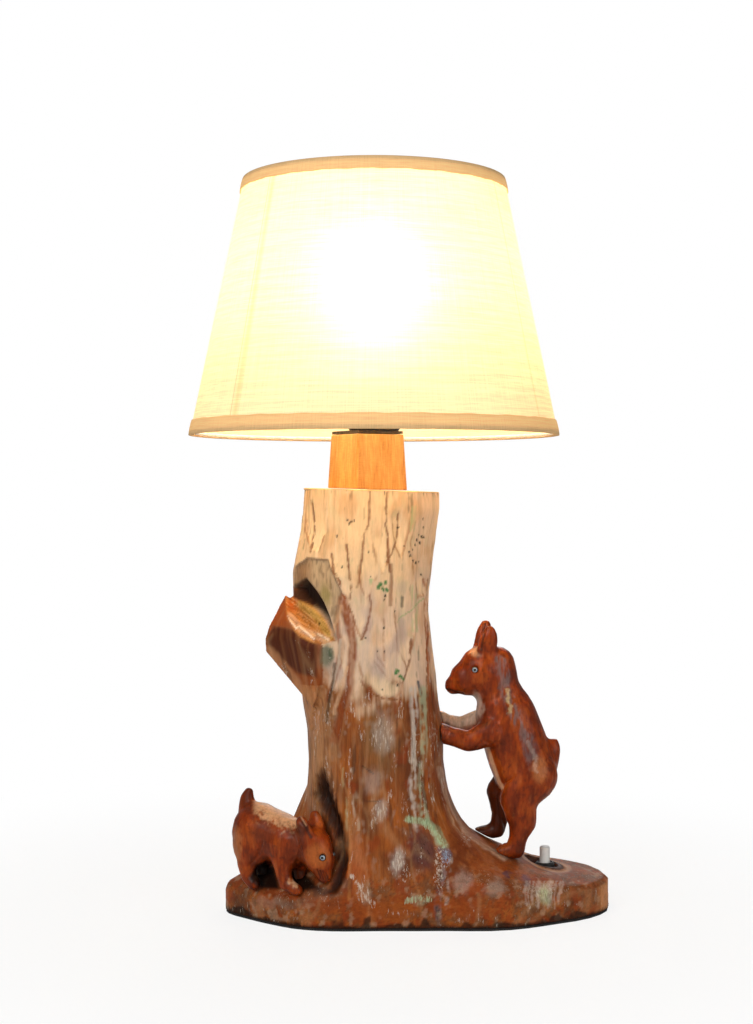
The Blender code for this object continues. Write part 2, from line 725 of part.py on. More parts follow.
def limb(bm, balls):
    """Flattened balls joined by tapered runs: each ball has a place, a radius and a half width across."""
    for middle, radius, half_width in balls:
        shape = Matrix.Translation(middle) @ Matrix.Diagonal((radius, half_width, radius, 1))
        bmesh.ops.create_uvsphere(bm, u_segments=LIMB_SEGMENTS, v_segments=LIMB_RINGS, radius=1,
                                  matrix=shape)
    across = Vector((0, 1, 0))
    for (start, start_radius, start_width), (end, end_radius, end_width) in zip(balls, balls[1:]):
        upward = across.cross((end - start).normalized()).normalized()
        rings = []
        for middle, radius, half_width in ((start, start_radius, start_width),
                                           (end, end_radius, end_width)):
            angles = [math.tau * k / LIMB_SEGMENTS for k in range(LIMB_SEGMENTS)]
            rings.append([
                bm.verts.new(middle + upward * math.cos(a) * radius + across * math.sin(a) * half_width)
                for a in angles
            ])
        bridge(bm, rings[0], rings[1])
        bm.faces.new(rings[0])
        bm.faces.new(rings[1])


def figure(name, limbs_shares, height, keep_share, place, turn, clearance, wood):
    """An animal carved in one piece: limbs melted together, rounded over and cut to fit the log."""
    bm = bmesh.new()
    for balls in limbs_shares.values():
        limb(bm, [(Vector(ball[:3]) * height, ball[3] * height, ball[4] * height) for ball in balls])
    made = finished(name, bm, wood)
    made.location = place
    made.rotation_euler = (0, 0, math.radians(turn))
    melt = made.modifiers.new("melt", "REMESH")
    melt.mode = "VOXEL"
    melt.voxel_size = FIGURE_GRAIN
    melt.use_smooth_shade = True
    rounding = made.modifiers.new("rounding", "SMOOTH")
    rounding.iterations = FIGURE_SMOOTHING
    thinning = made.modifiers.new("thinning", "DECIMATE")
    thinning.ratio = keep_share
    boolean(made, clearance, "DIFFERENCE")
    return made


def add_eyes(owner, name, eye_shares, height, glass):
    """A glass bead in a round socket on each side of the head."""
    for side, label in ((-1, "near"), (1, "far")):
        spot = Vector((eye_shares[0], side * eye_shares[1], eye_shares[2])) * height
        for radius, piece in ((EYE_RADIUS, name + "_eye_" + label),
                              (EYE_RADIUS + GAP, name + "_socket_" + label)):
            bm = bmesh.new()
            bmesh.ops.create_uvsphere(bm, u_segments=SMALL_SEGMENTS, v_segments=LIMB_RINGS, radius=radius)
            bead = finished(piece, bm, glass, cutter=radius > EYE_RADIUS)
            bead.parent = owner
            bead.location = spot
        boolean(owner, bead, "DIFFERENCE")


def make_figures(wood, glass):
    clearance = finished("log_clearance", log_mesh(GAP), None, cutter=True)
    x = TRUNK_RADIUS + CLIMBER_STANDOFF
    place = (x, 0, ground_height(x, 0) - CLIMBER_SINK)
    climber = figure("climbing_figure", CLIMBER_LIMBS_SHARES, CLIMBER_HEIGHT, CLIMBER_KEEP_SHARE, place, 0,
                     clearance, wood)
    add_eyes(climber, "climbing", CLIMBER_EYE_SHARES, CLIMBER_HEIGHT, glass)
    angle = math.radians(CROUCHER_DEGREES)
    x = CROUCHER_DISTANCE * math.cos(angle)
    y = CROUCHER_DISTANCE * math.sin(angle)
    place = (x, y, ground_height(x, y) - CROUCHER_SINK)
    croucher = figure(
        "crouching_figure", CROUCHER_LIMBS_SHARES, CROUCHER_HEIGHT, CROUCHER_KEEP_SHARE, place, CROUCHER_TURN,
        clearance, wood
    )
    add_eyes(croucher, "crouching", CROUCHER_EYE_SHARES, CROUCHER_HEIGHT, glass)


def square_mesh(bottom_side, top_side, bottom, top, slope_share):
    bm = bmesh.new()
    rings = []
    turn = math.radians(NECK_TURN)
    for side, height, slope in ((bottom_side, bottom, slope_share), (top_side, top, 0)):
        corners = []
        for across, along in ((-1, -1), (1, -1), (1, 1), (-1, 1)):
            x = NECK_OFFSET + side / 2 * (across * math.cos(turn) - along * math.sin(turn))
            y = side / 2 * (across * math.sin(turn) + along * math.cos(turn))
            corners.append(bm.verts.new((x, y, height + slope * x)))
        rings.append(corners)
    bridge(bm, rings[0], rings[1])
    bm.faces.new(rings[0])
    bm.faces.new(rings[1])
    return bm


def make_neck(wood, dark):
    bore = turned("neck_bore",
                  rod_outline(BORE_RADIUS, NECK_BOTTOM - OVERRUN - OVERRUN,
                              CAP_BOTTOM + OVERRUN), None, cutter=True)
    block = finished(
        "neck_block", square_mesh(NECK_BOTTOM_SIDE, NECK_TOP_SIDE, NECK_BOTTOM, NECK_TOP,
                                  TOP_SLOPE_SHARE), wood, smooth=False
    )
    edges = block.modifiers.new("soft_edges", "BEVEL")
    edges.width = NECK_BEVEL
    edges.segments = 2
    boolean(block, bore, "DIFFERENCE")
    side = NECK_TOP_SIDE - 2 * PLATE_INSET
    plate = finished("neck_plate", square_mesh(side, side, PLATE_BOTTOM, PLATE_BOTTOM + PLATE_THICKNESS, 0),
                     dark, smooth=False)
    boolean(plate, bore, "DIFFERENCE")


def make_tube(steel):
    turned("threaded_tube", ring_outline(TUBE_BORE, TUBE_RADIUS, TUBE_BOTTOM, TUBE_TOP), steel)
    bore = TUBE_RADIUS + GAP
    washer_bottom = CHANNEL_ROOF - GAP - WASHER_THICKNESS
    turned("tube_washer",
           ring_outline(bore, WASHER_RADIUS, washer_bottom, washer_bottom + WASHER_THICKNESS), steel)
    hexagon_nut("tube_nut_lower", NUT_FLAT, bore, washer_bottom - GAP - NUT_HEIGHT, NUT_HEIGHT, steel)
    hexagon_nut("tube_nut_upper", NUT_FLAT, bore, CAP_BOTTOM + CAP_FLOOR + GAP, NUT_HEIGHT, steel)


def threaded_side(radius, depth, bottom, top, threads):
    """Rounded thread crests between two heights, from the bottom up."""
    points = [(radius - depth, bottom)]
    pitch = (top - bottom) / threads
    for i in range(threads):
        start = bottom + i * pitch
        points.append((radius, start + pitch / 3))
        points.append((radius, start + pitch * 2 / 3))
        points.append((radius - depth, start + pitch))
    return points


def make_holder(bakelite, porcelain, brass):
    cap_inner = CAP_RADIUS - CAP_WALL
    turned("holder_cap", (
        (TUBE_RADIUS + GAP, CAP_BOTTOM), (CAP_FOOT_RADIUS, CAP_BOTTOM), (CAP_RADIUS,
                                                                         CAP_BOTTOM + CAP_FOOT_RISE),
        (CAP_RADIUS, CAP_TOP), (cap_inner, CAP_TOP), (cap_inner, CAP_BOTTOM + CAP_FOOT_RISE),
        (CAP_FOOT_RADIUS - CAP_WALL, CAP_BOTTOM + CAP_FLOOR), (TUBE_RADIUS + GAP, CAP_BOTTOM + CAP_FLOOR)),
           bakelite)
    well = SCREW_SHELL_RADIUS + GAP
    insert_top = INSERT_BOTTOM + INSERT_HEIGHT
    turned("holder_insert", (
        (0, INSERT_BOTTOM), (INSERT_RADIUS, INSERT_BOTTOM), (INSERT_RADIUS, insert_top), (well, insert_top),
        (well, INSERT_SEAT), (0, INSERT_SEAT)), porcelain)
    sleeve_top = SLEEVE_BOTTOM + SLEEVE_HEIGHT
    sleeve_inner = SLEEVE_RADIUS - SLEEVE_WALL
    threads = threaded_side(SLEEVE_RADIUS, SLEEVE_THREAD_DEPTH, SLEEVE_BOTTOM + FLANGE_HEIGHT, sleeve_top,
                            SLEEVE_THREADS)
    turned("holder_sleeve", (
        (sleeve_inner, SLEEVE_BOTTOM), (FLANGE_RADIUS, SLEEVE_BOTTOM), (FLANGE_RADIUS,
                                                                        SLEEVE_BOTTOM + FLANGE_HEIGHT),
        *threads, (sleeve_inner, sleeve_top)), bakelite)
    ring_inner = SLEEVE_RADIUS + GAP
    turned("shade_ring", (
        (ring_inner, SHADE_RING_BOTTOM), (SHADE_RING_RADIUS, SHADE_RING_BOTTOM),
        (SHADE_RING_RADIUS, SHADE_RING_BOTTOM + SHADE_RING_WALL),
        (ring_inner + SHADE_RING_WALL, SHADE_RING_BOTTOM + SHADE_RING_HEIGHT),
        (ring_inner, SHADE_RING_BOTTOM + SHADE_RING_HEIGHT)), bakelite)
    shell_bottom = INSERT_SEAT + GAP
    turned("screw_shell",
           ring_outline(SCREW_SHELL_RADIUS - SCREW_SHELL_WALL, SCREW_SHELL_RADIUS, shell_bottom,
                                       shell_bottom + SCREW_SHELL_HEIGHT), brass)
    turned("centre_contact", (
        (0, shell_bottom), (CONTACT_RADIUS, shell_bottom), (CONTACT_RADIUS,
                                                            shell_bottom + CONTACT_HEIGHT / 2),
        (CONTACT_RADIUS / 2, shell_bottom + CONTACT_HEIGHT), (0, shell_bottom + CONTACT_HEIGHT)), brass,
           segments=SMALL_SEGMENTS)
    terminal_top = INSERT_BOTTOM - GAP
    for side, label in ((-1, "left"), (1, "right")):
        x = side * TERMINAL_PLACE
        low = (x - TERMINAL_SIDE / 2, -TERMINAL_SIDE / 2, terminal_top - TERMINAL_HEIGHT)
        high = (x + TERMINAL_SIDE / 2, TERMINAL_SIDE / 2, terminal_top)
        box("holder_terminal_" + label, low, high, brass)


def glass_outline():
    """The bulb's glass: outer side from the neck up to the crown, then the inner side back down."""
    top = BULB_BOTTOM + BULB_HEIGHT
    crown = top - BULB_RADIUS
    sides = []
    for wall in (0, GLASS_WALL):
        side = []
        for radius_share, height_share in ((share[1], share[0]) for share in GLASS_PROFILE_SHARES):
            height = GLASS_BOTTOM + (crown - GLASS_BOTTOM) * height_share / GLASS_PROFILE_SHARES[-1][0]
            side.append((BULB_NECK_RADIUS + (BULB_RADIUS - BULB_NECK_RADIUS) * radius_share - wall, height))
        for i in range(1, CROWN_POINTS):
            a = math.pi / 2 * i / CROWN_POINTS
            side.append(((BULB_RADIUS - wall) * math.cos(a), crown + (BULB_RADIUS - wall) * math.sin(a)))
        side.append((0, top - wall))
        sides.append(side)
    return sides[0][::-1] + sides[1]


def make_bulb(glass, cap_metal, black, solder, filament):
    axis = bpy.data.objects.new("bulb_axis", None)
    bpy.context.scene.collection.objects.link(axis)
    pieces = [turned("bulb_glass", glass_outline(), glass, segments=FINE_SEGMENTS)]
    threads = threaded_side(BULB_CAP_RADIUS, BULB_THREAD_DEPTH, BULB_CAP_BOTTOM,
                            BULB_CAP_BOTTOM + BULB_CAP_HEIGHT, BULB_THREADS)
    inner = BULB_CAP_RADIUS - BULB_THREAD_DEPTH - BULB_CAP_WALL
    pieces.append(turned("bulb_cap",
                         ((inner, BULB_CAP_BOTTOM), *threads,
                          (inner, BULB_CAP_BOTTOM + BULB_CAP_HEIGHT)), cap_metal))
    insulator_bottom = BULB_BOTTOM + TIP_HEIGHT + GAP
    pieces.append(turned("bulb_insulator", (
        (0, insulator_bottom), (TIP_RADIUS, insulator_bottom), (inner, insulator_bottom + INSULATOR_HEIGHT),
        (0, insulator_bottom + INSULATOR_HEIGHT)), black))
    pieces.append(turned("bulb_tip", rod_outline(TIP_RADIUS, BULB_BOTTOM, BULB_BOTTOM + TIP_HEIGHT), solder,
                         segments=SMALL_SEGMENTS))
    stem_bottom = BULB_CAP_BOTTOM
    stem_top = GLASS_BOTTOM + STEM_HEIGHT
    turned_stem = turned("bulb_stem", (
        (0, stem_bottom), (inner - GAP, stem_bottom), (inner - GAP, GLASS_BOTTOM - GAP),
        (STEM_RADIUS, GLASS_BOTTOM + STEM_RADIUS), (STEM_RADIUS / 2, stem_top), (0, stem_top)), glass,
        segments=SMALL_SEGMENTS)
    pieces.append(turned_stem)
    bm = bmesh.new()
    angles = [math.tau * i / SMALL_SEGMENTS for i in range(SMALL_SEGMENTS)]
    height = stem_top + GAP + FILAMENT_RADIUS
    rings = []
    for a in angles:
        middle = Vector((FILAMENT_REACH * math.cos(a), FILAMENT_REACH * math.sin(a), height))
        outward = Vector((math.cos(a), math.sin(a), 0))
        turns = [math.tau * k / 6 for k in range(6)]
        rings.append([
            bm.verts.new(middle + FILAMENT_RADIUS * (outward * math.cos(t) + Vector((0, 0,
                                                                                     1)) * math.sin(t)))
            for t in turns
        ])
    for ring, after in zip(rings, rings[1:] + rings[:1]):
        bridge(bm, ring, after)
    coil = finished("bulb_filament", bm, filament)
    spider = turned("filament_hub", rod_outline(STEM_RADIUS / 2, stem_top + GAP, height + FILAMENT_RADIUS),
                    None,
                    segments=SMALL_SEGMENTS, cutter=True)
    boolean(coil, spider, "UNION")
    for i in range(ARM_COUNT):
        a = math.tau * i / ARM_COUNT
        bm = bmesh.new()
        outward = Vector((math.cos(a), math.sin(a), 0)) * FILAMENT_REACH
        tube_mesh(bm, [Vector((0, 0, height)), outward + Vector((0, 0, height))], FILAMENT_RADIUS / 2, 6)
        spoke = finished("filament_spoke_" + str(i), bm, None, cutter=True)
        boolean(coil, spoke, "UNION")
    pieces.append(coil)
    for piece in pieces:
        piece.parent = axis


def shade_radius(height):
    share = (height - SHADE_BOTTOM) / SHADE_HEIGHT
    return SHADE_BOTTOM_RADIUS + (SHADE_TOP_RADIUS - SHADE_BOTTOM_RADIUS) * share


def trim_outline(edge, leg, into):
    """A folded band over one edge of the cover: edge is its outer height, leg the end of its outer side."""
    fold = edge + into * (TRIM_WALL + GAP)
    under = edge + into * TRIM_WALL
    outer = GAP + TRIM_WALL
    inner_reach = SHADE_WALL + GAP + 2 * WIRE_RADIUS
    points = [
        (shade_radius(edge) + outer, edge),
        (shade_radius(leg) + outer, leg),
        (shade_radius(leg) + GAP, leg),
        (shade_radius(fold) + GAP, under),
        (shade_radius(fold) - inner_reach, under),
        (shade_radius(edge) - inner_reach, edge),
    ]
    return points


def make_shade(fabric, trim, wire):
    axis = bpy.data.objects.new("shade_axis", None)
    bpy.context.scene.collection.objects.link(axis)
    cover_bottom = SHADE_BOTTOM + TRIM_WALL + GAP
    cover_top = SHADE_TOP - TRIM_WALL - GAP
    pieces = [turned("shade_cover", (
        (shade_radius(cover_bottom) - SHADE_WALL, cover_bottom), (shade_radius(cover_bottom), cover_bottom),
        (shade_radius(cover_top), cover_top), (shade_radius(cover_top) - SHADE_WALL, cover_top)), fabric,
                     segments=FINE_SEGMENTS)]
    pieces.append(turned("shade_bottom_trim",
                         trim_outline(SHADE_BOTTOM, SHADE_BOTTOM + BOTTOM_TRIM_HEIGHT,
                                      1), trim, segments=FINE_SEGMENTS))
    pieces.append(turned("shade_top_trim", trim_outline(SHADE_TOP, SHADE_TOP - TOP_TRIM_HEIGHT, -1), trim,
                         segments=FINE_SEGMENTS))
    wires = {}
    for name, edge, into in (("shade_top_wire", SHADE_TOP, -1), ("shade_carrier", SHADE_BOTTOM, 1)):
        height = edge + into * (TRIM_WALL + GAP + WIRE_RADIUS)
        radius = shade_radius(height) - SHADE_WALL - GAP - WIRE_RADIUS
        turns = [math.tau * k / WIRE_SIDES for k in range(WIRE_SIDES)]
        outline = [(radius + WIRE_RADIUS * math.cos(t), height + WIRE_RADIUS * math.sin(t)) for t in turns]
        wires[name] = turned(name, outline, wire, segments=FINE_SEGMENTS)
        wires[name + "_place"] = (radius, height)
    carrier = wires["shade_carrier"]
    ring_radius, ring_height = wires["shade_carrier_place"]
    hub = turned("carrier_hub", ring_outline(SLEEVE_RADIUS + 2 * GAP, CARRIER_RADIUS, CARRIER_BOTTOM,
                                             CARRIER_BOTTOM + CARRIER_THICKNESS), None, cutter=True)
    boolean(carrier, hub, "UNION")
    for i in range(ARM_COUNT):
        a = math.pi / 2 + math.tau * i / ARM_COUNT
        outward = Vector((math.cos(a), math.sin(a), 0))
        arm_height = CARRIER_BOTTOM + CARRIER_THICKNESS / 2
        start = outward * (CARRIER_RADIUS - ARM_RADIUS) + Vector((0, 0, arm_height))
        shoulder = outward * (CARRIER_RADIUS + ARM_FLAT) + Vector((0, 0, arm_height))
        end = outward * ring_radius + Vector((0, 0, ring_height))
        bm = bmesh.new()
        tube_mesh(bm, [start, shoulder, end], ARM_RADIUS, 8)
        boolean(carrier, finished("carrier_arm_" + str(i), bm, None, cutter=True), "UNION")
    pieces += [carrier, wires["shade_top_wire"]]
    for piece in pieces:
        piece.parent = axis


def helix(turns, radius, bottom, top, step_count):
    places = []
    for i in range(turns * step_count + 1):
        a = math.tau * i / step_count
        share = i / (turns * step_count)
        places.append(Vector((radius * math.cos(a), radius * math.sin(a), bottom + (top - bottom) * share)))
    return places


def make_switch(black, white, brass, steel):
    axis = bpy.data.objects.new("switch_axis", None)
    bpy.context.scene.collection.objects.link(axis)
    axis.location = (SWITCH_X, SWITCH_Y, 0)
    room = SWITCH_BODY_RADIUS - SWITCH_WALL_THICKNESS
    ceiling = SWITCH_BODY_TOP - SWITCH_WALL_THICKNESS
    floor = SWITCH_BODY_BOTTOM + SWITCH_WALL_THICKNESS
    pieces = [turned("switch_body", (
        (0, SWITCH_BODY_BOTTOM), (SWITCH_BODY_RADIUS, SWITCH_BODY_BOTTOM), (SWITCH_BODY_RADIUS,
                                                                            SWITCH_BODY_TOP),
        (BUSH_RADIUS, SWITCH_BODY_TOP), (BUSH_RADIUS, BUSH_TOP), (BUSH_BORE, BUSH_TOP), (BUSH_BORE,
                                                                                         ceiling),
        (room, ceiling), (room, floor), (0, floor)), black)]
    nut_bottom = SWITCH_SEAT + GAP
    nut_top = nut_bottom + SWITCH_NUT_HEIGHT
    pieces.append(turned("switch_nut", (
        (BUSH_RADIUS + GAP, nut_bottom), (SWITCH_NUT_RADIUS, nut_bottom),
        (SWITCH_NUT_RADIUS, nut_top - SWITCH_NUT_CHAMFER), (SWITCH_NUT_RADIUS - SWITCH_NUT_CHAMFER,
                                                            nut_top),
        (BUSH_RADIUS + GAP, nut_top)), black))
    foot_top = ceiling - GAP
    foot_bottom = foot_top - PLUNGER_FOOT_HEIGHT
    plunger_top = nut_top + PLUNGER_STAND
    pieces.append(turned("switch_plunger", (
        (0, foot_bottom), (PLUNGER_FOOT_RADIUS, foot_bottom), (PLUNGER_FOOT_RADIUS,
                                                               foot_top), (PLUNGER_RADIUS, foot_top),
        (PLUNGER_RADIUS, plunger_top - PLUNGER_CHAMFER), (PLUNGER_RADIUS - PLUNGER_CHAMFER, plunger_top),
        (0, plunger_top)), white))
    bm = bmesh.new()
    places = helix(SPRING_TURNS, SPRING_RADIUS, floor + GAP + SPRING_WIRE, foot_bottom - GAP - SPRING_WIRE,
                   10)
    tube_mesh(bm, places, SPRING_WIRE, 6)
    pieces.append(finished("switch_spring", bm, steel))
    tab_top = SWITCH_BODY_BOTTOM - GAP
    for side, label in ((-1, "front"), (1, "back")):
        y = side * SWITCH_TAB_PLACE
        low = (-SWITCH_TAB_WIDTH / 2, y - SWITCH_TAB_WIDTH / 2, tab_top - SWITCH_TAB_HEIGHT)
        high = (SWITCH_TAB_WIDTH / 2, y + SWITCH_TAB_WIDTH / 2, tab_top)
        pieces.append(box("switch_terminal_" + label, low, high, brass))
    for piece in pieces:
        piece.parent = axis


def make_wiring(white, brass, brown, blue, black):
    block_top = CHANNEL_ROOF - GAP
    block_bottom = block_top - BLOCK_HEIGHT
    low = (BLOCK_X - BLOCK_LENGTH / 2, -BLOCK_WIDTH / 2, block_bottom)
    high = (BLOCK_X + BLOCK_LENGTH / 2, BLOCK_WIDTH / 2, block_top)
    block = box("terminal_block", low, high, white)
    hole = turned("block_hole",
                  rod_outline(BLOCK_SCREW_RADIUS + GAP, block_bottom - OVERRUN, block_top + OVERRUN), None,
                  segments=SMALL_SEGMENTS, centre=(BLOCK_X, 0), cutter=True)
    boolean(block, hole, "DIFFERENCE")
    head_top = block_bottom - GAP
    turned("block_screw", (
        (0, head_top - BLOCK_SCREW_RADIUS), (BLOCK_SCREW_HEAD,
                                             head_top - BLOCK_SCREW_RADIUS), (BLOCK_SCREW_HEAD, head_top),
        (BLOCK_SCREW_RADIUS, head_top), (BLOCK_SCREW_RADIUS,
                                         head_top + BLOCK_SCREW_LENGTH - BLOCK_SCREW_RADIUS),
        (0, head_top + BLOCK_SCREW_LENGTH)), brass, segments=SMALL_SEGMENTS, centre=(BLOCK_X, 0))
    for side, label in ((-1, "left"), (1, "right")):
        spot = (BLOCK_X + side * CLAMP_SCREW_PLACE, 0)
        socket = turned("clamp_hole_" + label, rod_outline(CLAMP_SCREW_RADIUS + GAP, block_bottom - OVERRUN,
                        block_bottom + CLAMP_SCREW_DEPTH + GAP), None, segments=SMALL_SEGMENTS, centre=spot,
                        cutter=True)
        boolean(block, socket, "DIFFERENCE")
        turned("clamp_screw_" + label,
               rod_outline(CLAMP_SCREW_RADIUS, block_bottom, block_bottom + CLAMP_SCREW_DEPTH), brass,
               segments=SMALL_SEGMENTS, centre=spot)
    terminal_bottom = INSERT_BOTTOM - GAP - TERMINAL_HEIGHT - GAP
    down = TUBE_TOP + TUBE_HEAD
    sag = TUBE_BOTTOM - LEAD_SAG
    lead_height = block_bottom + BLOCK_HEIGHT / 2
    tab_height = SWITCH_BODY_BOTTOM - GAP - SWITCH_TAB_HEIGHT / 2
    lead("lead_neutral", (
        (TERMINAL_PLACE, 0, terminal_bottom), (TERMINAL_PLACE, 0, terminal_bottom - LEAD_RADIUS),
        (LEAD_OFFSET, 0, down), (LEAD_OFFSET, 0, down - LEAD_STEP), (LEAD_OFFSET, 0,
                                                                     TUBE_BOTTOM + LEAD_STEP),
        (LEAD_OFFSET, 0, TUBE_BOTTOM), (LEAD_OFFSET + LEAD_SAG, 0, sag + LEAD_RADIUS),
        (WASHER_RADIUS + LEAD_SAG, 0, sag + LEAD_RADIUS), (low[0] - GAP - LEAD_SAG, 0, lead_height),
        (low[0] - GAP, 0, lead_height)), blue)
    lane = LEAD_LANE
    lead("lead_live", (
        (-TERMINAL_PLACE, 0, terminal_bottom), (-TERMINAL_PLACE, 0, terminal_bottom - LEAD_RADIUS),
        (-LEAD_OFFSET, 0, down), (-LEAD_OFFSET, 0, down - LEAD_STEP), (-LEAD_OFFSET, 0,
                                                                       TUBE_BOTTOM + LEAD_STEP),
        (-LEAD_OFFSET, 0, TUBE_BOTTOM), (LEAD_OFFSET / 2, LEAD_SAG, sag + LEAD_RADIUS),
        (WASHER_RADIUS, lane, sag + LEAD_RADIUS), (BLOCK_X, lane, lead_height - LEAD_SAG / 2),
        (SWITCH_X - POCKET_RADIUS, lane, tab_height + LEAD_RADIUS / 2),
        (SWITCH_X - SWITCH_TAB_WIDTH / 2 - GAP - LEAD_RADIUS, SWITCH_Y + SWITCH_TAB_PLACE, tab_height),
        (SWITCH_X - SWITCH_TAB_WIDTH / 2 - GAP, SWITCH_Y + SWITCH_TAB_PLACE, tab_height)), brown)
    lead("lead_switched", (
        (high[0] + GAP, 0, lead_height), (high[0] + LEAD_SAG, 0, lead_height),
        (SWITCH_X - POCKET_RADIUS, 0, tab_height + LEAD_RADIUS / 2),
        (SWITCH_X - SWITCH_TAB_WIDTH / 2 - GAP - LEAD_RADIUS, SWITCH_Y - SWITCH_TAB_PLACE, tab_height),
        (SWITCH_X - SWITCH_TAB_WIDTH / 2 - GAP, SWITCH_Y - SWITCH_TAB_PLACE, tab_height)), brown)
    bush = turned("inlet_bush", (
        (INLET_BORE, -INLET_LENGTH), (INLET_RADIUS, -INLET_LENGTH), (INLET_RADIUS,
                                                                     GAP), (INLET_FLANGE_RADIUS, GAP),
        (INLET_FLANGE_RADIUS, INLET_FLANGE), (INLET_BORE, INLET_FLANGE)), black)
    facing_back(bush, (INLET_X, inlet_place(), INLET_HEIGHT))


def main():
    clear_scene()
    log_wood = material("log_wood", (0.42, 0.24, 0.13), 0.55)
    figure_wood = material("figure_wood", (0.33, 0.11, 0.035), 0.4)
    neck_wood = material("neck_wood", (0.80, 0.45, 0.16), 0.5)
    felt = material("felt", (0.02, 0.02, 0.022), 0.95)
    dark_plate = material("dark_plate", (0.03, 0.02, 0.015), 0.6)
    eye_glass = material("eye_glass", (0.02, 0.03, 0.05), 0.08)
    steel = material("steel", (0.62, 0.62, 0.64), 0.35, metallic=1.0)
    brass = material("brass", (0.80, 0.60, 0.28), 0.3, metallic=1.0)
    bakelite = material("bakelite", (0.02, 0.018, 0.016), 0.35)
    porcelain = material("porcelain", (0.88, 0.87, 0.83), 0.2)
    white_plastic = material("white_plastic", (0.86, 0.84, 0.80), 0.4)
    black_plastic = material("black_plastic", (0.015, 0.016, 0.015), 0.4)
    bulb_glass = material("bulb_glass_frosted", (1.0, 0.93, 0.78), 0.35, emission=2.0)
    bulb_metal = material("bulb_metal", (0.75, 0.75, 0.77), 0.3, metallic=1.0)
    solder = material("solder", (0.70, 0.70, 0.72), 0.4, metallic=1.0)
    filament = material("filament", (1.0, 0.75, 0.35), 0.5, emission=5.0)
    fabric = material("shade_fabric", (0.93, 0.86, 0.68), 0.9)
    trim = material("shade_trim", (0.86, 0.66, 0.42), 0.85)
    white_wire = material("white_wire", (0.85, 0.85, 0.82), 0.4)
    blue_lead = material("blue_lead", (0.05, 0.16, 0.45), 0.5)
    brown_lead = material("brown_lead", (0.20, 0.08, 0.03), 0.5)
    make_log(log_wood)
    make_pad(felt)
    make_figures(figure_wood, eye_glass)
    make_neck(neck_wood, dark_plate)
    make_tube(steel)
    make_holder(bakelite, porcelain, brass)
    make_bulb(bulb_glass, bulb_metal, black_plastic, solder, filament)
    make_shade(fabric, trim, white_wire)
    make_switch(black_plastic, white_plastic, brass, steel)
    make_wiring(white_plastic, brass, brown_lead, blue_lead, black_plastic)


main()
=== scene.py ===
from functools import partial
import math

import bmesh
import bpy
import numpy as np
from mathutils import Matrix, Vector, noise


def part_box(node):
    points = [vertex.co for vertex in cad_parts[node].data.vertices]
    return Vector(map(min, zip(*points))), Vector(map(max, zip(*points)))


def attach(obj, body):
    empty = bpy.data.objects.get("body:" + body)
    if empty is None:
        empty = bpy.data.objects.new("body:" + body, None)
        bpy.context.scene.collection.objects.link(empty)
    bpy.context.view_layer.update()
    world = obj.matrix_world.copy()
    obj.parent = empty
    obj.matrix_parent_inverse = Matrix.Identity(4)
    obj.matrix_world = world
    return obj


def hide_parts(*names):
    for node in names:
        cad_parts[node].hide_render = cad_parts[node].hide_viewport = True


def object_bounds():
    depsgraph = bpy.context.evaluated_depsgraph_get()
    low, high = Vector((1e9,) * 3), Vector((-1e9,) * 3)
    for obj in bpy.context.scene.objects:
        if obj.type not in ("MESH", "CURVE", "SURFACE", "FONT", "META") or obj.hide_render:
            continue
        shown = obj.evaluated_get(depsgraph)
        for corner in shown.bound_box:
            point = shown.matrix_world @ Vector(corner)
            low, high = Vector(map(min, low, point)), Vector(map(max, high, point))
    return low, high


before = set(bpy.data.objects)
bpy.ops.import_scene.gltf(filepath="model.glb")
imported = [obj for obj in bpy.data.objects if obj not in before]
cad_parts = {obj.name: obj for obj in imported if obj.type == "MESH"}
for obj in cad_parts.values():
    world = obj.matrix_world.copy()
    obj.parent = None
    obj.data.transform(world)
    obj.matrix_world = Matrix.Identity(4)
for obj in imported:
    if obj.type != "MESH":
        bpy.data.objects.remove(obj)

cad_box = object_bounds()

MM = 0.001
EYE_HEIGHT, EYE_DISTANCE = 284.0, 1144.0
AXIS_COLUMN, HORIZON_ROW, MM_PER_PIXEL, FOCAL_PIXELS = 374.0, 495.0, 0.681, 1680.0
PHOTO_COLUMNS, PHOTO_ROWS = 753, 1024
SWITCH_X, SWITCH_Y = 117, 5
scene = bpy.context.scene


def rgb(r, g, b):
    """A linear colour from the 0 to 255 values of a screen colour."""
    return tuple(((v / 255) / 12.92 if v / 255 <= 0.04045 else ((v / 255 + 0.055) / 1.055) ** 2.4) for v in (r, g, b))


# ---------- materials ----------

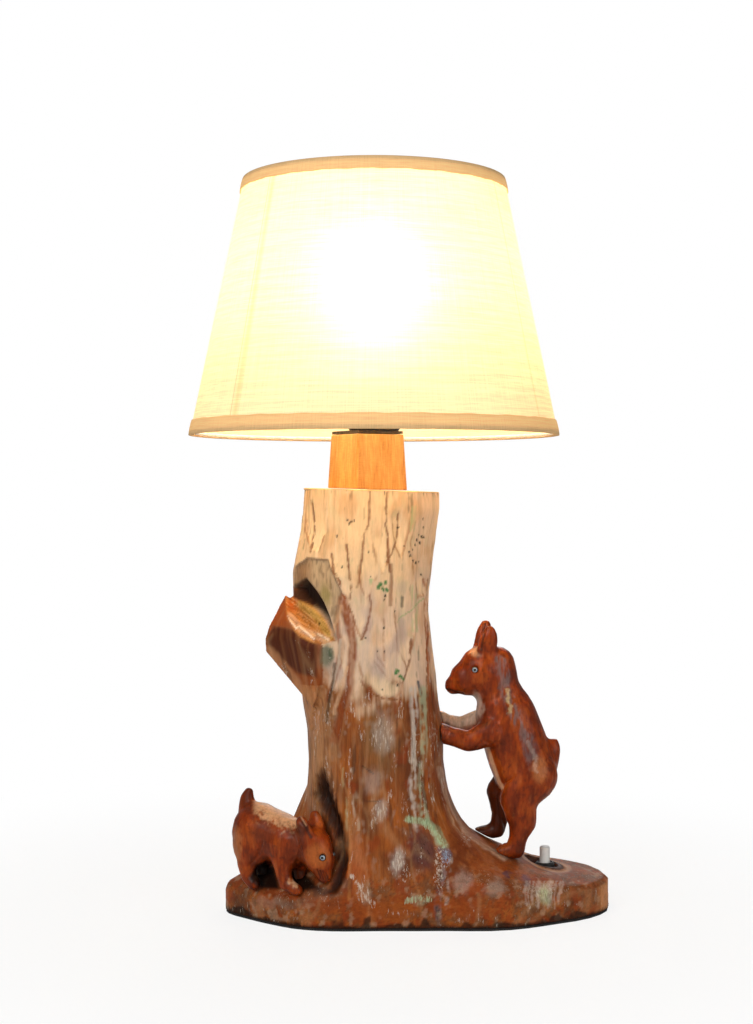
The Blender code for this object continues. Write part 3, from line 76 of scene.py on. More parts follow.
class Nodes:
    """Short ways to add and join a material's nodes."""

    def __init__(self, name):
        self.material = bpy.data.materials.new(name)
        self.material.use_nodes = True
        self.tree = self.material.node_tree
        self.shader = self.tree.nodes["Principled BSDF"]
        self.output = self.tree.nodes["Material Output"]
        self.coords = self.tree.nodes.new("ShaderNodeTexCoord").outputs["Object"]

    def new(self, kind, inputs=(), **values):
        """A node with its settings, and its inputs by name or number."""
        node = self.tree.nodes.new(kind)
        for key, value in values.items():
            setattr(node, key, value)
        for key, value in dict(inputs).items():
            self.put(node.inputs[key], value)
        return node

    def link(self, a, b):
        self.tree.links.new(a, b)

    def put(self, socket, value):
        if isinstance(value, bpy.types.NodeSocket):
            self.link(value, socket)
        elif isinstance(value, tuple) and len(value) == 3 and socket.type == "RGBA":
            socket.default_value = (*value, 1)
        else:
            socket.default_value = value

    def mapped(self, scale, location=(0, 0, 0), source=None):
        inputs = {"Vector": source or self.coords, "Scale": scale, "Location": location}
        return self.new("ShaderNodeMapping", inputs).outputs["Vector"]

    def noise(self, vector, scale, detail=4, roughness=0.55, distortion=0):
        inputs = {"Vector": vector, "Scale": scale, "Detail": detail, "Roughness": roughness,
                  "Distortion": distortion}
        return self.new("ShaderNodeTexNoise", inputs).outputs["Fac"]

    def cells(self, vector, scale):
        return self.new("ShaderNodeTexVoronoi", {"Vector": vector, "Scale": scale}).outputs["Distance"]

    def ramp(self, value, stops):
        node = self.new("ShaderNodeValToRGB", {"Fac": value})
        ramp = node.color_ramp
        while len(ramp.elements) < len(stops):
            ramp.elements.new(0.5)
        for element, (place, colour) in zip(ramp.elements, stops):
            element.position = place
            element.color = (*colour, 1) if isinstance(colour, tuple) else (colour, colour, colour, 1)
        return node.outputs["Color"]

    def mix(self, fac, a, b, blend="MIX"):
        inputs = {"Factor": fac, "A": a, "B": b}
        return self.new("ShaderNodeMix", inputs, data_type="RGBA", blend_type=blend).outputs["Result"]

    def tint(self, colour, by, amount=1.0):
        """The colour multiplied by another, in part."""
        return self.mix(amount, colour, self.mix(1.0, colour, by, "MULTIPLY"))

    def math(self, operation, a, b=0.0):
        return self.new("ShaderNodeMath", {0: a, 1: b}, operation=operation).outputs["Value"]

    def times(self, a, b):
        return self.math("MULTIPLY", a, b)

    def smooth_range(self, value, low, high, to_low, to_high):
        inputs = {"Value": value, "From Min": low, "From Max": high, "To Min": to_low, "To Max": to_high}
        return self.new("ShaderNodeMapRange", inputs, interpolation_type="SMOOTHSTEP").outputs["Result"]

    def facing(self, direction):
        """1 where the surface faces the direction, 0 where it stands square to it."""
        normal = self.new("ShaderNodeNewGeometry").outputs["Normal"]
        inputs = {0: normal, 1: Vector(direction).normalized()}
        return self.new("ShaderNodeVectorMath", inputs, operation="DOT_PRODUCT").outputs["Value"]

    def attribute(self, name, kind="Color"):
        return self.new("ShaderNodeAttribute", attribute_name=name).outputs[kind]

    def bump(self, height, strength, distance):
        inputs = {"Height": height, "Strength": strength, "Distance": distance}
        return self.new("ShaderNodeBump", inputs).outputs["Normal"]

    def blend(self, share, a, b):
        """Two shaders mixed, with a share of the second."""
        return self.new("ShaderNodeMixShader", {0: share, 1: a, 2: b}).outputs[0]

    def set(self, **inputs):
        for name, value in inputs.items():
            self.put(self.shader.inputs[name.replace("_", " ")], value)
        return self


def plain(name, dark, light, roughness, scale=300.0, metallic=0.0, bump=0.1, stretch=(1, 1, 1), **more):
    """A material for small hardware: two close tones, uneven gloss and a fine bump."""
    n = Nodes(name)
    spots = n.noise(n.mapped(stretch), scale, detail=5)
    n.set(Base_Color=n.ramp(spots, [(0.3, dark), (0.7, light)]), Metallic=metallic)
    n.set(Roughness=n.ramp(n.noise(n.mapped(stretch), scale / 3), [(0.3, roughness * 0.8), (0.7, min(1.0,
            roughness * 1.25))]))
    if bump:
        n.set(Normal=n.bump(spots, bump, 0.0003))
    n.set(**more)
    return n.material


def wood(name, streak_scale, gloss, stretch=(1, 1, 0.12), pores=0.5):
    """Carved wood: its large colours come from the surface's own paint, its grain and pores from the nodes."""
    n = Nodes(name)
    paint = n.attribute("paint")
    warped = n.noise(n.mapped((1, 1, 0.3)), 40.0, detail=2)
    shift = n.new("ShaderNodeVectorMath", {0: warped, "Scale": 0.006}, operation="SCALE").outputs["Vector"]
    bent = n.new("ShaderNodeVectorMath", {0: n.coords, 1: shift}, operation="ADD").outputs["Vector"]
    along = n.mapped(stretch, source=bent)
    even = n.mapped((0.35, 0.35, 0.55), source=bent)
    flatten = n.attribute("flatten", "Fac")
    grain = n.mix(flatten, n.noise(along, streak_scale, detail=8, roughness=0.62),
                  n.noise(even, streak_scale, detail=8, roughness=0.66))
    fine = n.mix(flatten, n.noise(along, streak_scale * 3.1, detail=4, roughness=0.6),
                 n.noise(even, streak_scale * 3.1, detail=4, roughness=0.6))
    pore = n.cells(n.mapped((stretch[0], stretch[1], stretch[2] * 2)), streak_scale * 2.2)
    dark = n.mix(1.0, paint, n.ramp(grain, [(0.30, 0.66), (0.50, 0.98), (0.70, 1.12)]), "MULTIPLY")
    dark = n.tint(dark, n.ramp(fine, [(0.35, 0.62), (0.60, 1.12)]), 0.45)
    dark = n.tint(dark, n.ramp(pore, [(0.06, 0.45), (0.17, 1.0)]), pores)
    dark = n.mix(n.times(n.attribute("calm", "Fac"), 0.62), dark, paint)
    fibres = n.noise(n.mapped((1, 1, 0.2)), 1000.0, detail=6, roughness=0.72)
    scuffed = n.math("ADD", fibres, n.times(n.math("SUBTRACT", n.attribute("scuff", "Fac"), 1.0), 0.26))
    flecks = n.ramp(scuffed, [(0.46, 0.0), (0.56, 1.0)])
    dark = n.mix(n.times(flecks, 0.8), dark, n.attribute("scuff_tone"))
    chips = n.noise(n.mapped((1, 1, 0.5), location=(0.3, 0.1, 0.2)), 900.0, detail=5, roughness=0.75)
    dirty = n.math("ADD", chips, n.times(n.math("SUBTRACT", n.attribute("grime", "Fac"), 1.0), 0.32))
    dark = n.mix(n.times(n.ramp(dirty, [(0.47, 0.0), (0.55, 1.0)]), 0.85), dark, (0.018, 0.010, 0.006))
    wear = n.noise(n.mapped((1, 1, 1)), 60.0, detail=3)
    n.set(Base_Color=dark, Roughness=n.math("ADD", n.times(wear, 0.22), n.attribute("rough", "Fac")))
    height = n.math("ADD", n.times(grain, 0.7), n.times(fine, 0.3))
    n.set(Normal=n.bump(height, 0.5, 0.0006), Specular_IOR_Level=gloss)
    return n.material


MATERIALS = {}


def make_materials():
    m = MATERIALS
    m["log"] = wood("carved_log", 420.0, 0.12)
    m["figure"] = wood("polished_figure", 260.0, 0.2, stretch=(1, 1, 0.3), pores=0.35)
    m["steel"] = plain("zinc_steel", (0.42, 0.42, 0.44), (0.62, 0.62, 0.65), 0.33, 900.0, 1.0)
    m["brass"] = plain("bright_brass", (0.62, 0.42, 0.16), (0.85, 0.64, 0.30), 0.28, 700.0, 1.0)
    m["black"] = plain("black_moulding", (0.010, 0.010, 0.011), (0.028, 0.027, 0.026), 0.38, 500.0)
    m["porcelain"] = plain("glazed_porcelain", (0.72, 0.70, 0.65), (0.86, 0.84, 0.80), 0.16, 120.0, bump=0.02)
    m["white"] = plain("white_plastic", (0.86, 0.84, 0.80), (0.95, 0.94, 0.91), 0.36, 260.0, bump=0.05)
    m["felt"] = plain("black_felt", (0.004, 0.004, 0.005), (0.035, 0.034, 0.034), 0.95, 2200.0, bump=0.6)
    m["dark"] = plain("dark_plate", (0.012, 0.007, 0.004), (0.06, 0.035, 0.02), 0.6, 420.0)
    m["wire"] = plain("white_wire", (0.62, 0.60, 0.56), (0.82, 0.80, 0.76), 0.35, 300.0, bump=0.05)
    m["blue"] = plain("blue_sleeve", (0.02, 0.06, 0.22), (0.04, 0.12, 0.38), 0.45, 400.0)
    m["brown"] = plain("brown_sleeve", (0.06, 0.022, 0.008), (0.14, 0.055, 0.02), 0.45, 400.0)
    m["bulb_metal"] = plain("bulb_metal", (0.50, 0.50, 0.52), (0.74, 0.74, 0.77), 0.3, 800.0, 1.0)
    m["filament"] = plain("filament", (0.9, 0.5, 0.2), (1.0, 0.7, 0.4), 0.5, 800.0)
    m["stem"] = plain("stem_glass", (0.80, 0.84, 0.84), (0.92, 0.95, 0.95), 0.08, 90.0, bump=0.0)


def neck_material():
    """Golden planed wood with saw marks, upright grain and small pores."""
    n = Nodes("golden_neck")
    along = n.mapped((1, 1, 0.07))
    grain = n.noise(along, 900.0, detail=8, roughness=0.65, distortion=0.4)
    broad = n.noise(n.mapped((1, 1, 0.2)), 95.0, detail=3)
    colour = n.ramp(grain, [(0.28, rgb(144, 94, 38)), (0.46, rgb(192, 146, 70)), (0.72, rgb(226, 188, 108))])
    colour = n.mix(0.35, colour, n.ramp(broad, [(0.35, rgb(190, 122, 56)), (0.65, rgb(240, 196, 130))]))
    flecks = n.cells(n.mapped((1, 1, 0.25)), 1300.0)
    colour = n.tint(colour, n.ramp(flecks, [(0.05, 0.35), (0.18, 1.0)]), 0.5)
    saw = n.noise(n.mapped((0.15, 0.15, 1)), 1500.0, detail=2)
    colour = n.tint(colour, n.ramp(saw, [(0.4, 0.6), (0.6, 1.15)]), 0.18)
    # painted shade: the faces toward +X are tinted darker
    right = n.ramp(n.facing((1, 0, 0)), [(0.10, 0.0), (0.30, 1.0)])
    colour = n.tint(colour, rgb(222, 206, 196), n.times(right, 0.6))
    n.set(Base_Color=colour, Roughness=n.ramp(broad, [(0.3, 0.45), (0.7, 0.65)]))
    n.set(Normal=n.bump(n.math("ADD", grain, n.times(saw, 0.5)), 0.5, 0.0005))
    return n.material


def angle_and_height(n):
    """Sockets for the angle round the lamp's axis in turns, and for the height in metres."""
    split = n.new("ShaderNodeSeparateXYZ", {0: n.coords})
    angle = n.math("ARCTAN2", split.outputs["Y"], split.outputs["X"])
    return n.math("DIVIDE", angle, math.tau), split.outputs["Z"]


def weave(n, across, up):
    """Linen: even threads both ways with thick slubs, mostly along the horizontal."""
    angle, height = angle_and_height(n)
    flat = n.new("ShaderNodeCombineXYZ", {"X": angle, "Y": height}).outputs["Vector"]
    weft = n.noise(n.mapped((34.0, up, 1), source=flat), 1.0, detail=3, roughness=0.7)
    warp = n.noise(n.mapped((across, 18.0, 1), source=flat), 1.0, detail=3, roughness=0.7)
    slub = n.noise(n.mapped((9.0, up * 0.35, 1), source=flat), 1.0, detail=2)
    both = n.math("ADD", n.times(weft, 0.6), n.times(warp, 0.4))
    return both, slub, angle, height


def bell(n, value, middle, width):
    """1 at the middle, 0 beyond the width on either side."""
    away = n.math("ABSOLUTE", n.math("SUBTRACT", value, middle))
    return n.smooth_range(away, 0, width, 1, 0)


THREADS_ROUND, THREADS_UP = 900.0, 1150.0
# height and reach of the painted glow on the shade cover
BULB_MIDDLE, GLOW_REACH = 0.440, 0.140
# painted shade on the lit linen: darker lines along the overlap seam near 225 degrees and a faint one near 330
# degrees
SEAM_SHADE_LINES = [(-0.3765, 0.0062, 0.4, (238, 206, 150)), (-0.3825, 0.0012, 0.5, (226, 186, 128)),
         (-0.082, 0.0022, 0.3, (238, 206, 150))]


def shade_material():
    """Cream linen lit from inside: light passes through it, and a painted glow (emission) that is brightest at the
    bulb's height adds to that light.
    """
    n = Nodes("lit_linen")
    both, slub, angle, height = weave(n, THREADS_ROUND, THREADS_UP)
    glow = bell(n, height, BULB_MIDDLE, GLOW_REACH)
    threads = n.ramp(both, [(0.34, 0.80), (0.52, 1.0), (0.68, 1.08)])
    threads = n.tint(threads, n.ramp(slub, [(0.36, 0.86), (0.60, 1.06)]), 0.6)
    cloth = n.mix(1.0, rgb(250, 238, 214), threads, "MULTIPLY")
    # painted shade: the seam lines darken the lit cloth
    for place, width, amount, shadow in SEAM_SHADE_LINES:
        cloth = n.tint(cloth, rgb(*shadow), n.times(bell(n, angle, place, width), amount))
    normal = n.bump(both, 0.4, 0.0004)
    n.set(Base_Color=cloth, Roughness=0.9, Specular_IOR_Level=0.15, Normal=normal)
    # painted glow: emission that stands in for the light coming through, paler at the bulb's height and warmer away
    # from it
    warm = n.mix(glow, rgb(255, 216, 132), rgb(255, 250, 226))
    lit = n.mix(1.0, warm, cloth, "MULTIPLY")
    n.set(Emission_Color=lit, Emission_Strength=n.math("ADD", 0.28, n.times(glow, 0.30)))
    warmed = n.mix(1.0, rgb(255, 232, 186), cloth, "MULTIPLY")
    through = n.new("ShaderNodeBsdfTranslucent", {"Color": warmed, "Normal": normal})
    clear = n.mix(1.0, rgb(255, 250, 232), cloth, "MULTIPLY")
    direct = n.new("ShaderNodeBsdfRefraction", {"Color": clear, "Roughness": 0.96, "IOR": 1.35},
            distribution="GGX")
    passed = n.blend(0.42, through.outputs[0], direct.outputs[0])
    n.link(n.blend(0.26, n.shader.outputs[0], passed), n.output.inputs["Surface"])
    return n.material


def trim_material():
    """The peach bands: two layers of the linen, so less light comes through, shown as a painted glow (emission) with
    almost none at the folded edge.
    """
    n = Nodes("lit_trim")
    both, slub, _, _ = weave(n, THREADS_ROUND, THREADS_UP)
    threads = n.ramp(both, [(0.34, 0.78), (0.52, 1.0), (0.68, 1.10)])
    cloth = n.mix(1.0, rgb(226, 188, 138), threads, "MULTIPLY")
    n.set(Base_Color=cloth, Roughness=0.92, Emission_Color=n.mix(1.0, rgb(255, 192, 112), threads,
            "MULTIPLY"))
    patch = n.ramp(slub, [(0.3, 0.85), (0.7, 1.1)])
    # painted glow: emission set by each band's glow attribute
    n.set(Emission_Strength=n.times(n.attribute("glow", "Fac"), patch))
    n.set(Normal=n.bump(both, 0.5, 0.0004), Specular_IOR_Level=0.1)
    return n.material


def bulb_material():
    """Frosted glass that glows evenly."""
    n = Nodes("glowing_glass")
    frost = n.noise(n.mapped((1, 1, 1)), 500.0, detail=3)
    n.set(Base_Color=(0.95, 0.93, 0.88), Roughness=n.ramp(frost, [(0.3, 0.3), (0.7, 0.45)]))
    n.set(Emission_Color=n.ramp(frost, [(0.3, (1.0, 0.70, 0.38)), (0.7, (1.0, 0.76, 0.45))]),
            Emission_Strength=44.0)
    n.material.cycles.emission_sampling = "FRONT"
    return n.material


def eye_material(name, direction):
    """A glass eye: black pupil, pale blue ring, dark rim, set by the direction that its surface faces."""
    n = Nodes(name)
    facing = n.facing(direction)
    iris = n.noise(n.mapped((1, 1, 1)), 3000.0, detail=2)
    ring = n.ramp(iris, [(0.3, rgb(120, 140, 160)), (0.7, rgb(196, 208, 220))])
    colour = n.mix(n.ramp(facing, [(0.60, 0.0), (0.68, 1.0)]), (0.012, 0.010, 0.010), ring)
    colour = n.mix(n.ramp(facing, [(0.86, 0.0), (0.91, 1.0)]), colour, (0.004, 0.004, 0.006))
    n.set(Base_Color=colour, Roughness=0.06, Coat_Weight=1.0, Coat_Roughness=0.02)
    return n.material


def assign(node, material):
    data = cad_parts[node].data
    data.materials.clear()
    data.materials.append(material)


# ---------- carved wood ----------

def shown(name, mesh):
    made = bpy.data.objects.new(name, mesh)
    scene.collection.objects.link(made)
    return made


def fine_copy(name, node, grain, rounding):
    """A closed, even, fine copy of a CAD node, to be carved."""
    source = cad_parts[node]
    mesh = source.data.copy()
    mesh.transform(source.matrix_world)
    made = shown(name, mesh)
    remesh = made.modifiers.new("remesh", "REMESH")
    remesh.mode = "VOXEL"
    remesh.voxel_size = grain
    smooth = made.modifiers.new("smooth", "SMOOTH")
    smooth.iterations = rounding
    graph = bpy.context.evaluated_depsgraph_get()
    fine = bpy.data.meshes.new_from_object(made.evaluated_get(graph))
    made.modifiers.clear()
    made.data = fine
    fine.name = name
    fine.materials.clear()
    return made


def arrays(mesh):
    count = len(mesh.vertices)
    places = np.empty(count * 3, np.float32)
    mesh.vertices.foreach_get("co", places)
    normals = np.empty(count * 3, np.float32)
    mesh.vertices.foreach_get("normal", normals)
    return places.reshape(-1, 3).astype(np.float64) / MM, normals.reshape(-1, 3).astype(np.float64)


def rough_noise(points, scale, seed=0.0, octaves=1):
    """Smooth noise from -1 to 1 at points in mm, with features about scale mm across."""
    scaled = points / np.asarray(scale, float) + seed
    if octaves == 1:
        return np.array([noise.noise(Vector(p)) for p in scaled])
    return np.array([noise.fractal(Vector(p), 1.0, 2.0, octaves) for p in scaled])


def cell_noise(points, scale, seed=0.0):
    """Distance to the nearest cell's middle, distance to the border between cells, and a number for each cell."""
    scaled = points / np.asarray(scale, float) + seed
    near, border, which = np.empty(len(points)), np.empty(len(points)), np.empty(len(points))
    for i, p in enumerate(scaled):
        distances, middles = noise.voronoi(Vector(p))
        near[i] = distances[0]
        border[i] = distances[1] - distances[0]
        which[i] = (middles[0][0] * 12.9898 + middles[0][1] * 78.233 + middles[0][2] * 37.719) % 1.0
    return near, border, which


def step(low, high, value):
    t = np.clip((value - low) / (high - low), 0, 1)
    return t * t * (3 - 2 * t)


def photo_place(points):
    """Column and row at which each point shows in the photograph's view."""
    scale = EYE_DISTANCE / (EYE_DISTANCE + points[:, 1])
    column = AXIS_COLUMN + points[:, 0] / MM_PER_PIXEL * scale
    row = HORIZON_ROW + (EYE_HEIGHT - points[:, 2]) / MM_PER_PIXEL * scale
    return column, row


def spot(column, row, middle, size, soft=0.5):
    """1 inside an upright oval of pixels, falling to 0 at its rim."""
    away = np.hypot((column - middle[0]) / size[0], (row - middle[1]) / size[1])
    return 1 - step(1 - soft, 1 + soft * 0.3, away)


def stroke(column, row, path, width):
    """1 along a path of pixels, falling to 0 at its width on either side."""
    nearest = np.full(len(column), 1e9)
    for (x0, y0), (x1, y1) in zip(path, path[1:]):
        span = np.array([x1 - x0, y1 - y0], float)
        t = np.clip(((column - x0) * span[0] + (row - y0) * span[1]) / (span @ span), 0, 1)
        nearest = np.minimum(nearest, np.hypot(column - x0 - t * span[0], row - y0 - t * span[1]))
    return 1 - step(width * 0.35, width, nearest)


class Paint:
    """Screen colours laid over each other on the vertices of a mesh, with the amounts that the material reads."""

    def __init__(self, count, colour):
        self.colour = np.tile(rgb(*colour), (count, 1))
        self.rough = np.full(count, 0.30)
        self.scuff = np.zeros(count)
        self.grime = np.zeros(count)
        self.flatten = np.zeros(count)
        self.calm = np.zeros(count)
        self.scuff_tone = np.tile(rgb(214, 202, 186), (count, 1))

    def over(self, colour, amount):
        amount = np.clip(amount, 0, 1)[:, None]
        self.colour = self.colour * (1 - amount) + np.array(rgb(*colour)) * amount

    def darken(self, factor, amount):
        amount = np.clip(amount, 0, 1)[:, None]
        self.colour = self.colour * (1 - amount * (1 - factor))

    def scratch(self, amount, tone=None):
        """Marks where the surface is scuffed: pale flecks and fibres of a tone."""
        if tone is not None:
            share = np.clip(amount, 0, 1)[:, None]
            self.scuff_tone = self.scuff_tone * (1 - share) + np.array(rgb(*tone)) * share
        self.scuff = np.maximum(self.scuff, amount)

    def store(self, mesh):
        for name, colours in (("paint", self.colour), ("scuff_tone", self.scuff_tone)):
            layer = mesh.attributes.new(name, "FLOAT_COLOR", "POINT")
            values = np.ones((len(colours), 4), np.float32)
            values[:, :3] = np.clip(colours, 0, 1)
            layer.data.foreach_set("color", values.ravel())
        for name, amounts in (("rough", self.rough), ("scuff", self.scuff), ("grime", self.grime),
                              ("flatten", self.flatten), ("calm", self.calm)):
            layer = mesh.attributes.new(name, "FLOAT", "POINT")
            layer.data.foreach_set("value", np.clip(amounts, 0, 1).astype(np.float32))


BOX_MARGIN = 0.05


def carve(made, offsets):
    """Moves each vertex along its normal by an offset in mm."""
    mesh = made.data
    places, normals = arrays(mesh)
    places = places + normals * offsets[:, None]
    low, high = np.array(cad_box) / MM
    places = np.clip(places, low + BOX_MARGIN, high - BOX_MARGIN)
    mesh.vertices.foreach_set("co", (places * MM).astype(np.float32).ravel())
    mesh.update()
    mesh.shade_smooth()


def inside(column, row, corners):
    """Distance in pixels from a polygon's border, positive inside it."""
    within = np.zeros(len(column), bool)
    nearest = np.full(len(column), 1e9)
    for (x0, y0), (x1, y1) in zip(corners, corners[1:] + corners[:1]):
        span = np.array([x1 - x0, y1 - y0], float)
        t = np.clip(((column - x0) * span[0] + (row - y0) * span[1]) / (span @ span), 0, 1)
        nearest = np.minimum(nearest, np.hypot(column - x0 - t * span[0], row - y0 - t * span[1]))
        if y0 != y1:
            crosses = ((y0 > row) != (y1 > row)) & (column < x0 + (row - y0) * (x1 - x0) / (y1 - y0))
            within ^= crosses
    return np.where(within, nearest, -nearest)


CUT_FACE = [(285, 593), (292, 597), (313, 609), (325, 621), (335, 641), (324, 643), (313, 643), (300, 637),
        (293, 629),
            (287, 613)]
CREVICE = [(293, 588), (304, 579), (313, 590), (322, 602), (329, 617), (336, 640), (325, 621), (313, 609),
        (300, 600)]
GREY_FACET = [(293, 568), (306, 558), (327, 560), (332, 573), (341, 592), (337, 632), (329, 617), (322, 602),
              (313, 590), (304, 579), (293, 588)]
DEN = [(315, 776), (322, 768), (329, 783), (334, 800), (341, 815), (346, 836), (348, 862), (345, 884), (338,
        893),
       (326, 895), (330, 882), (335, 868), (334, 845), (328, 826), (318, 808), (311, 796)]
GOUGES = [
    [(330, 540), (346, 536), (348, 560), (349, 575), (351, 588), (345, 599), (340, 584), (334, 573)],
    [(362, 542), (375, 536), (377, 560), (378, 575), (371, 592), (367, 598), (361, 588), (359, 575)],
    [(371, 520), (388, 515), (389, 550), (390, 560), (383, 573), (377, 562), (373, 545)],
    [(352, 588), (366, 598), (371, 605), (368, 621), (362, 640), (355, 625), (349, 606)],
    [(394, 492), (412, 492), (410, 530), (402, 560), (395, 545), (392, 520)],
    [(414, 500), (436, 500), (434, 560), (428, 590), (419, 600), (412, 560)],
    [(306, 492), (325, 492), (326, 530), (318, 552), (309, 548), (304, 530)],
    [(372, 606), (388, 606), (392, 640), (386, 668), (376, 655), (370, 630)],
    [(398, 580), (414, 590), (416, 640), (408, 668), (398, 650), (395, 610)],
    [(362, 640), (374, 660), (386, 676), (404, 684), (397, 700), (378, 697), (364, 684), (358, 660)],
]
FACE_CRACKS = [
    [(370, 491), (369, 524), (364, 534), (362, 559), (359, 582), (357, 588)],
    [(388, 492), (387, 502), (386, 523), (388, 534), (389, 556), (391, 572)],
    [(346, 545), (348, 559), (349, 574), (351, 588)],
    [(331, 554), (333, 572), (340, 582), (341, 593), (345, 598)],
    [(351, 588), (350, 600), (349, 606), (355, 625)],
    [(370, 596), (372, 606), (368, 622), (366, 631), (362, 640)],
    [(360, 679), (365, 688), (372, 694), (384, 699), (397, 700)],
    [(399, 512), (399, 535), (393, 552), (386, 566)],
    [(430, 580), (431, 610), (428, 650), (429, 690)],
    [(413, 640), (411, 662), (404, 682)],
    [(311, 500), (312, 530), (309, 552)],
]
BLACK_FLECKS = [(347, 520, 1), (351, 522, 2), (354, 521, 1), (349, 524, 1), (424, 519, 1), (425, 528, 1),
        (421, 535, 1),
                (424, 537, 2), (419, 540, 2), (422, 543, 2), (426, 538, 1), (417, 545, 1), (400, 528,
                1), (405, 546, 1),
                (410, 552, 1), (411, 556, 2), (414, 550, 1), (415, 561, 1), (418, 563, 2), (421, 562,
                1), (424, 575, 1),
                (369, 552, 1), (341, 567, 1), (336, 536, 1), (386, 596, 2), (385, 600, 1), (378, 652,
                1), (386, 652, 1),
                (366, 638, 1), (383, 690, 1), (396, 612, 1), (385, 628, 1), (399, 686, 2), (371, 576, 1)]

# marks on the log: colour, share, path or middle in pixels, width or size, and how broken or soft
STREAKS = [
    ((142, 68, 30), 0.9, [(342, 600), (348, 622), (353, 645), (349, 684), (340, 720), (334, 740)], 7, 0.3),
    ((142, 68, 30), 0.75, [(338, 604), (336, 620), (341, 646), (336, 676), (326, 700)], 4, 0.6),
    ((222, 176, 134), 0.8, [(331, 636), (341, 606)], 2.2, 0.3),
    ((222, 176, 134), 0.7, [(346, 668), (340, 690), (334, 714)], 2.6, 0.3),
    ((206, 190, 168), 0.7, [(340, 640), (338, 664), (332, 690)], 1.8, 0.3),
    ((54, 44, 32), 0.75, [(334, 664), (333, 680), (329, 700), (326, 722)], 2.2, 0.4),
    ((136, 82, 52), 0.7, [(391, 565), (392, 585), (391, 605)], 2.6, 0.2),
    ((170, 108, 72), 0.5, [(384, 618), (385, 636), (384, 660)], 2.0),
    ((164, 84, 40), 0.8, [(426, 580), (428, 640), (431, 700)], 2.5),
    ((60, 56, 50), 0.8, [(404, 597), (404, 607)], 1.6, 0.2),
    ((66, 68, 78), 0.85, [(418, 682), (421, 695)], 1.8, 0.2),
    ((60, 76, 58), 0.5, [(421, 640), (420, 660)], 1.5),
    ((92, 84, 60), 0.55, [(411, 495), (411, 512)], 3.0),
    ((176, 190, 132), 0.5, [(414, 508), (413, 530)], 4),
    ((176, 196, 140), 0.45, [(415, 587), (416, 630)], 4),
    ((140, 172, 110), 0.6, [(424, 599), (411, 611), (399, 622)], 0.9, 0.3),
    ((176, 186, 152), 0.75, [(424, 690), (425, 730), (420, 770), (424, 812), (440, 842)], 6),
    ((206, 196, 184), 0.8, [(414, 690), (416, 740), (413, 790), (417, 830)], 5),
    ((48, 46, 48), 0.6, [(419, 764), (420, 784)], 1.8),
    ((154, 180, 138), 0.75, [(408, 820), (428, 822), (438, 830), (446, 846)], 5, 0.4),
]
WORN_MARKS = [
    ((90, 56, 54), 0.8, (424, 852), (16, 22)),
    ((206, 196, 186), 0.5, (398, 862), (9, 17)),
    ((208, 198, 188), 0.4, (382, 812), (8, 14)),
    ((196, 180, 166), 0.35, (372, 780), (12, 16)),
    ((196, 182, 170), 0.4, (384, 735), (13, 22)),
    ((168, 178, 148), 0.55, (419, 902), (9, 5)),
    ((206, 190, 174), 0.4, (365, 896), (7, 9)),
    ((140, 140, 146), 0.55, [(446, 850), (444, 870), (438, 900), (440, 925)], 4),
    ((50, 46, 46), 0.7, [(440, 872), (437, 900), (440, 926)], 3),
    ((196, 186, 174), 0.6, [(452, 856), (449, 880), (446, 905)], 2.5),
    ((60, 100, 130), 0.5, (447, 855), (5, 8)),
]
ROOT_MARKS = [
    ((130, 176, 112), 0.6, (371, 581), (4, 4)),
    ((206, 186, 160), 0.6, [(350, 770), (352, 800), (358, 830)], 2.5),
    ((186, 190, 140), 0.4, [(343, 770), (345, 800), (347, 830)], 3),
    ((206, 172, 146), 0.8, [(440, 770), (450, 800), (466, 830), (486, 846), (504, 858)], 5, 0.4),
    ((222, 186, 152), 0.7, [(446, 806), (456, 828), (470, 846)], 2.5, 0.3),
    ((140, 70, 34), 0.8, [(430, 700), (436, 780), (452, 826), (482, 860)], 4, 0.3),
]
FOOT_DABS = [
    ((52, 62, 92), 0.6, (508, 875), (4, 6)),
    ((58, 70, 96), 0.5, (527, 882), (5, 5)),
    ((60, 100, 84), 0.5, (549, 897), (5, 5)),
    ((196, 204, 160), 0.5, (545, 895), (7, 10)),
]
FOOT_PATCHES = [
    ((180, 168, 158), 0.4, (495, 888), (12, 13)),
    ((184, 172, 164), 0.35, (464, 884), (12, 16)),
    ((150, 70, 26), 0.7, (470, 912), (26, 12)),
    ((170, 82, 30), 0.85, (357, 868), (14, 40)),
    ((164, 82, 30), 0.75, (385, 912), (38, 14)),
    ((150, 68, 26), 0.7, (330, 905), (26, 12)),
    ((112, 80, 66), 0.6, (290, 904), (24, 8)),
    ((170, 140, 118), 0.35, (268, 905), (20, 8)),
    ((84, 54, 38), 0.5, (240, 900), (12, 14)),
]
SCUFFS = [((380, 812), (10, 18), 0.9), ((398, 862), (11, 20), 1.0), ((363, 892), (12, 16), 0.9),
          ((440, 870), (9, 38), 0.95), ((384, 735), (14, 26), 0.8), ((366, 700), (10, 20), 0.7),
          ((414, 745), (7, 50), 0.9), ((432, 745), (4, 50), 0.8), ((285, 898), (26, 12), 0.6),
          ((480, 880), (30, 14), 0.6), ((545, 893), (22, 10), 0.9), ((405, 800), (8, 22), 0.6),
          ((345, 690), (4, 46), 0.75), ((330, 660), (3, 40), 0.7), ((318, 735), (6, 30), 0.5),
          ((400, 650), (22, 40), 0.45), ((470, 838), (14, 8), 0.9), ((350, 820), (5, 50), 0.6),
          ((570, 905), (26, 14), 0.45)]


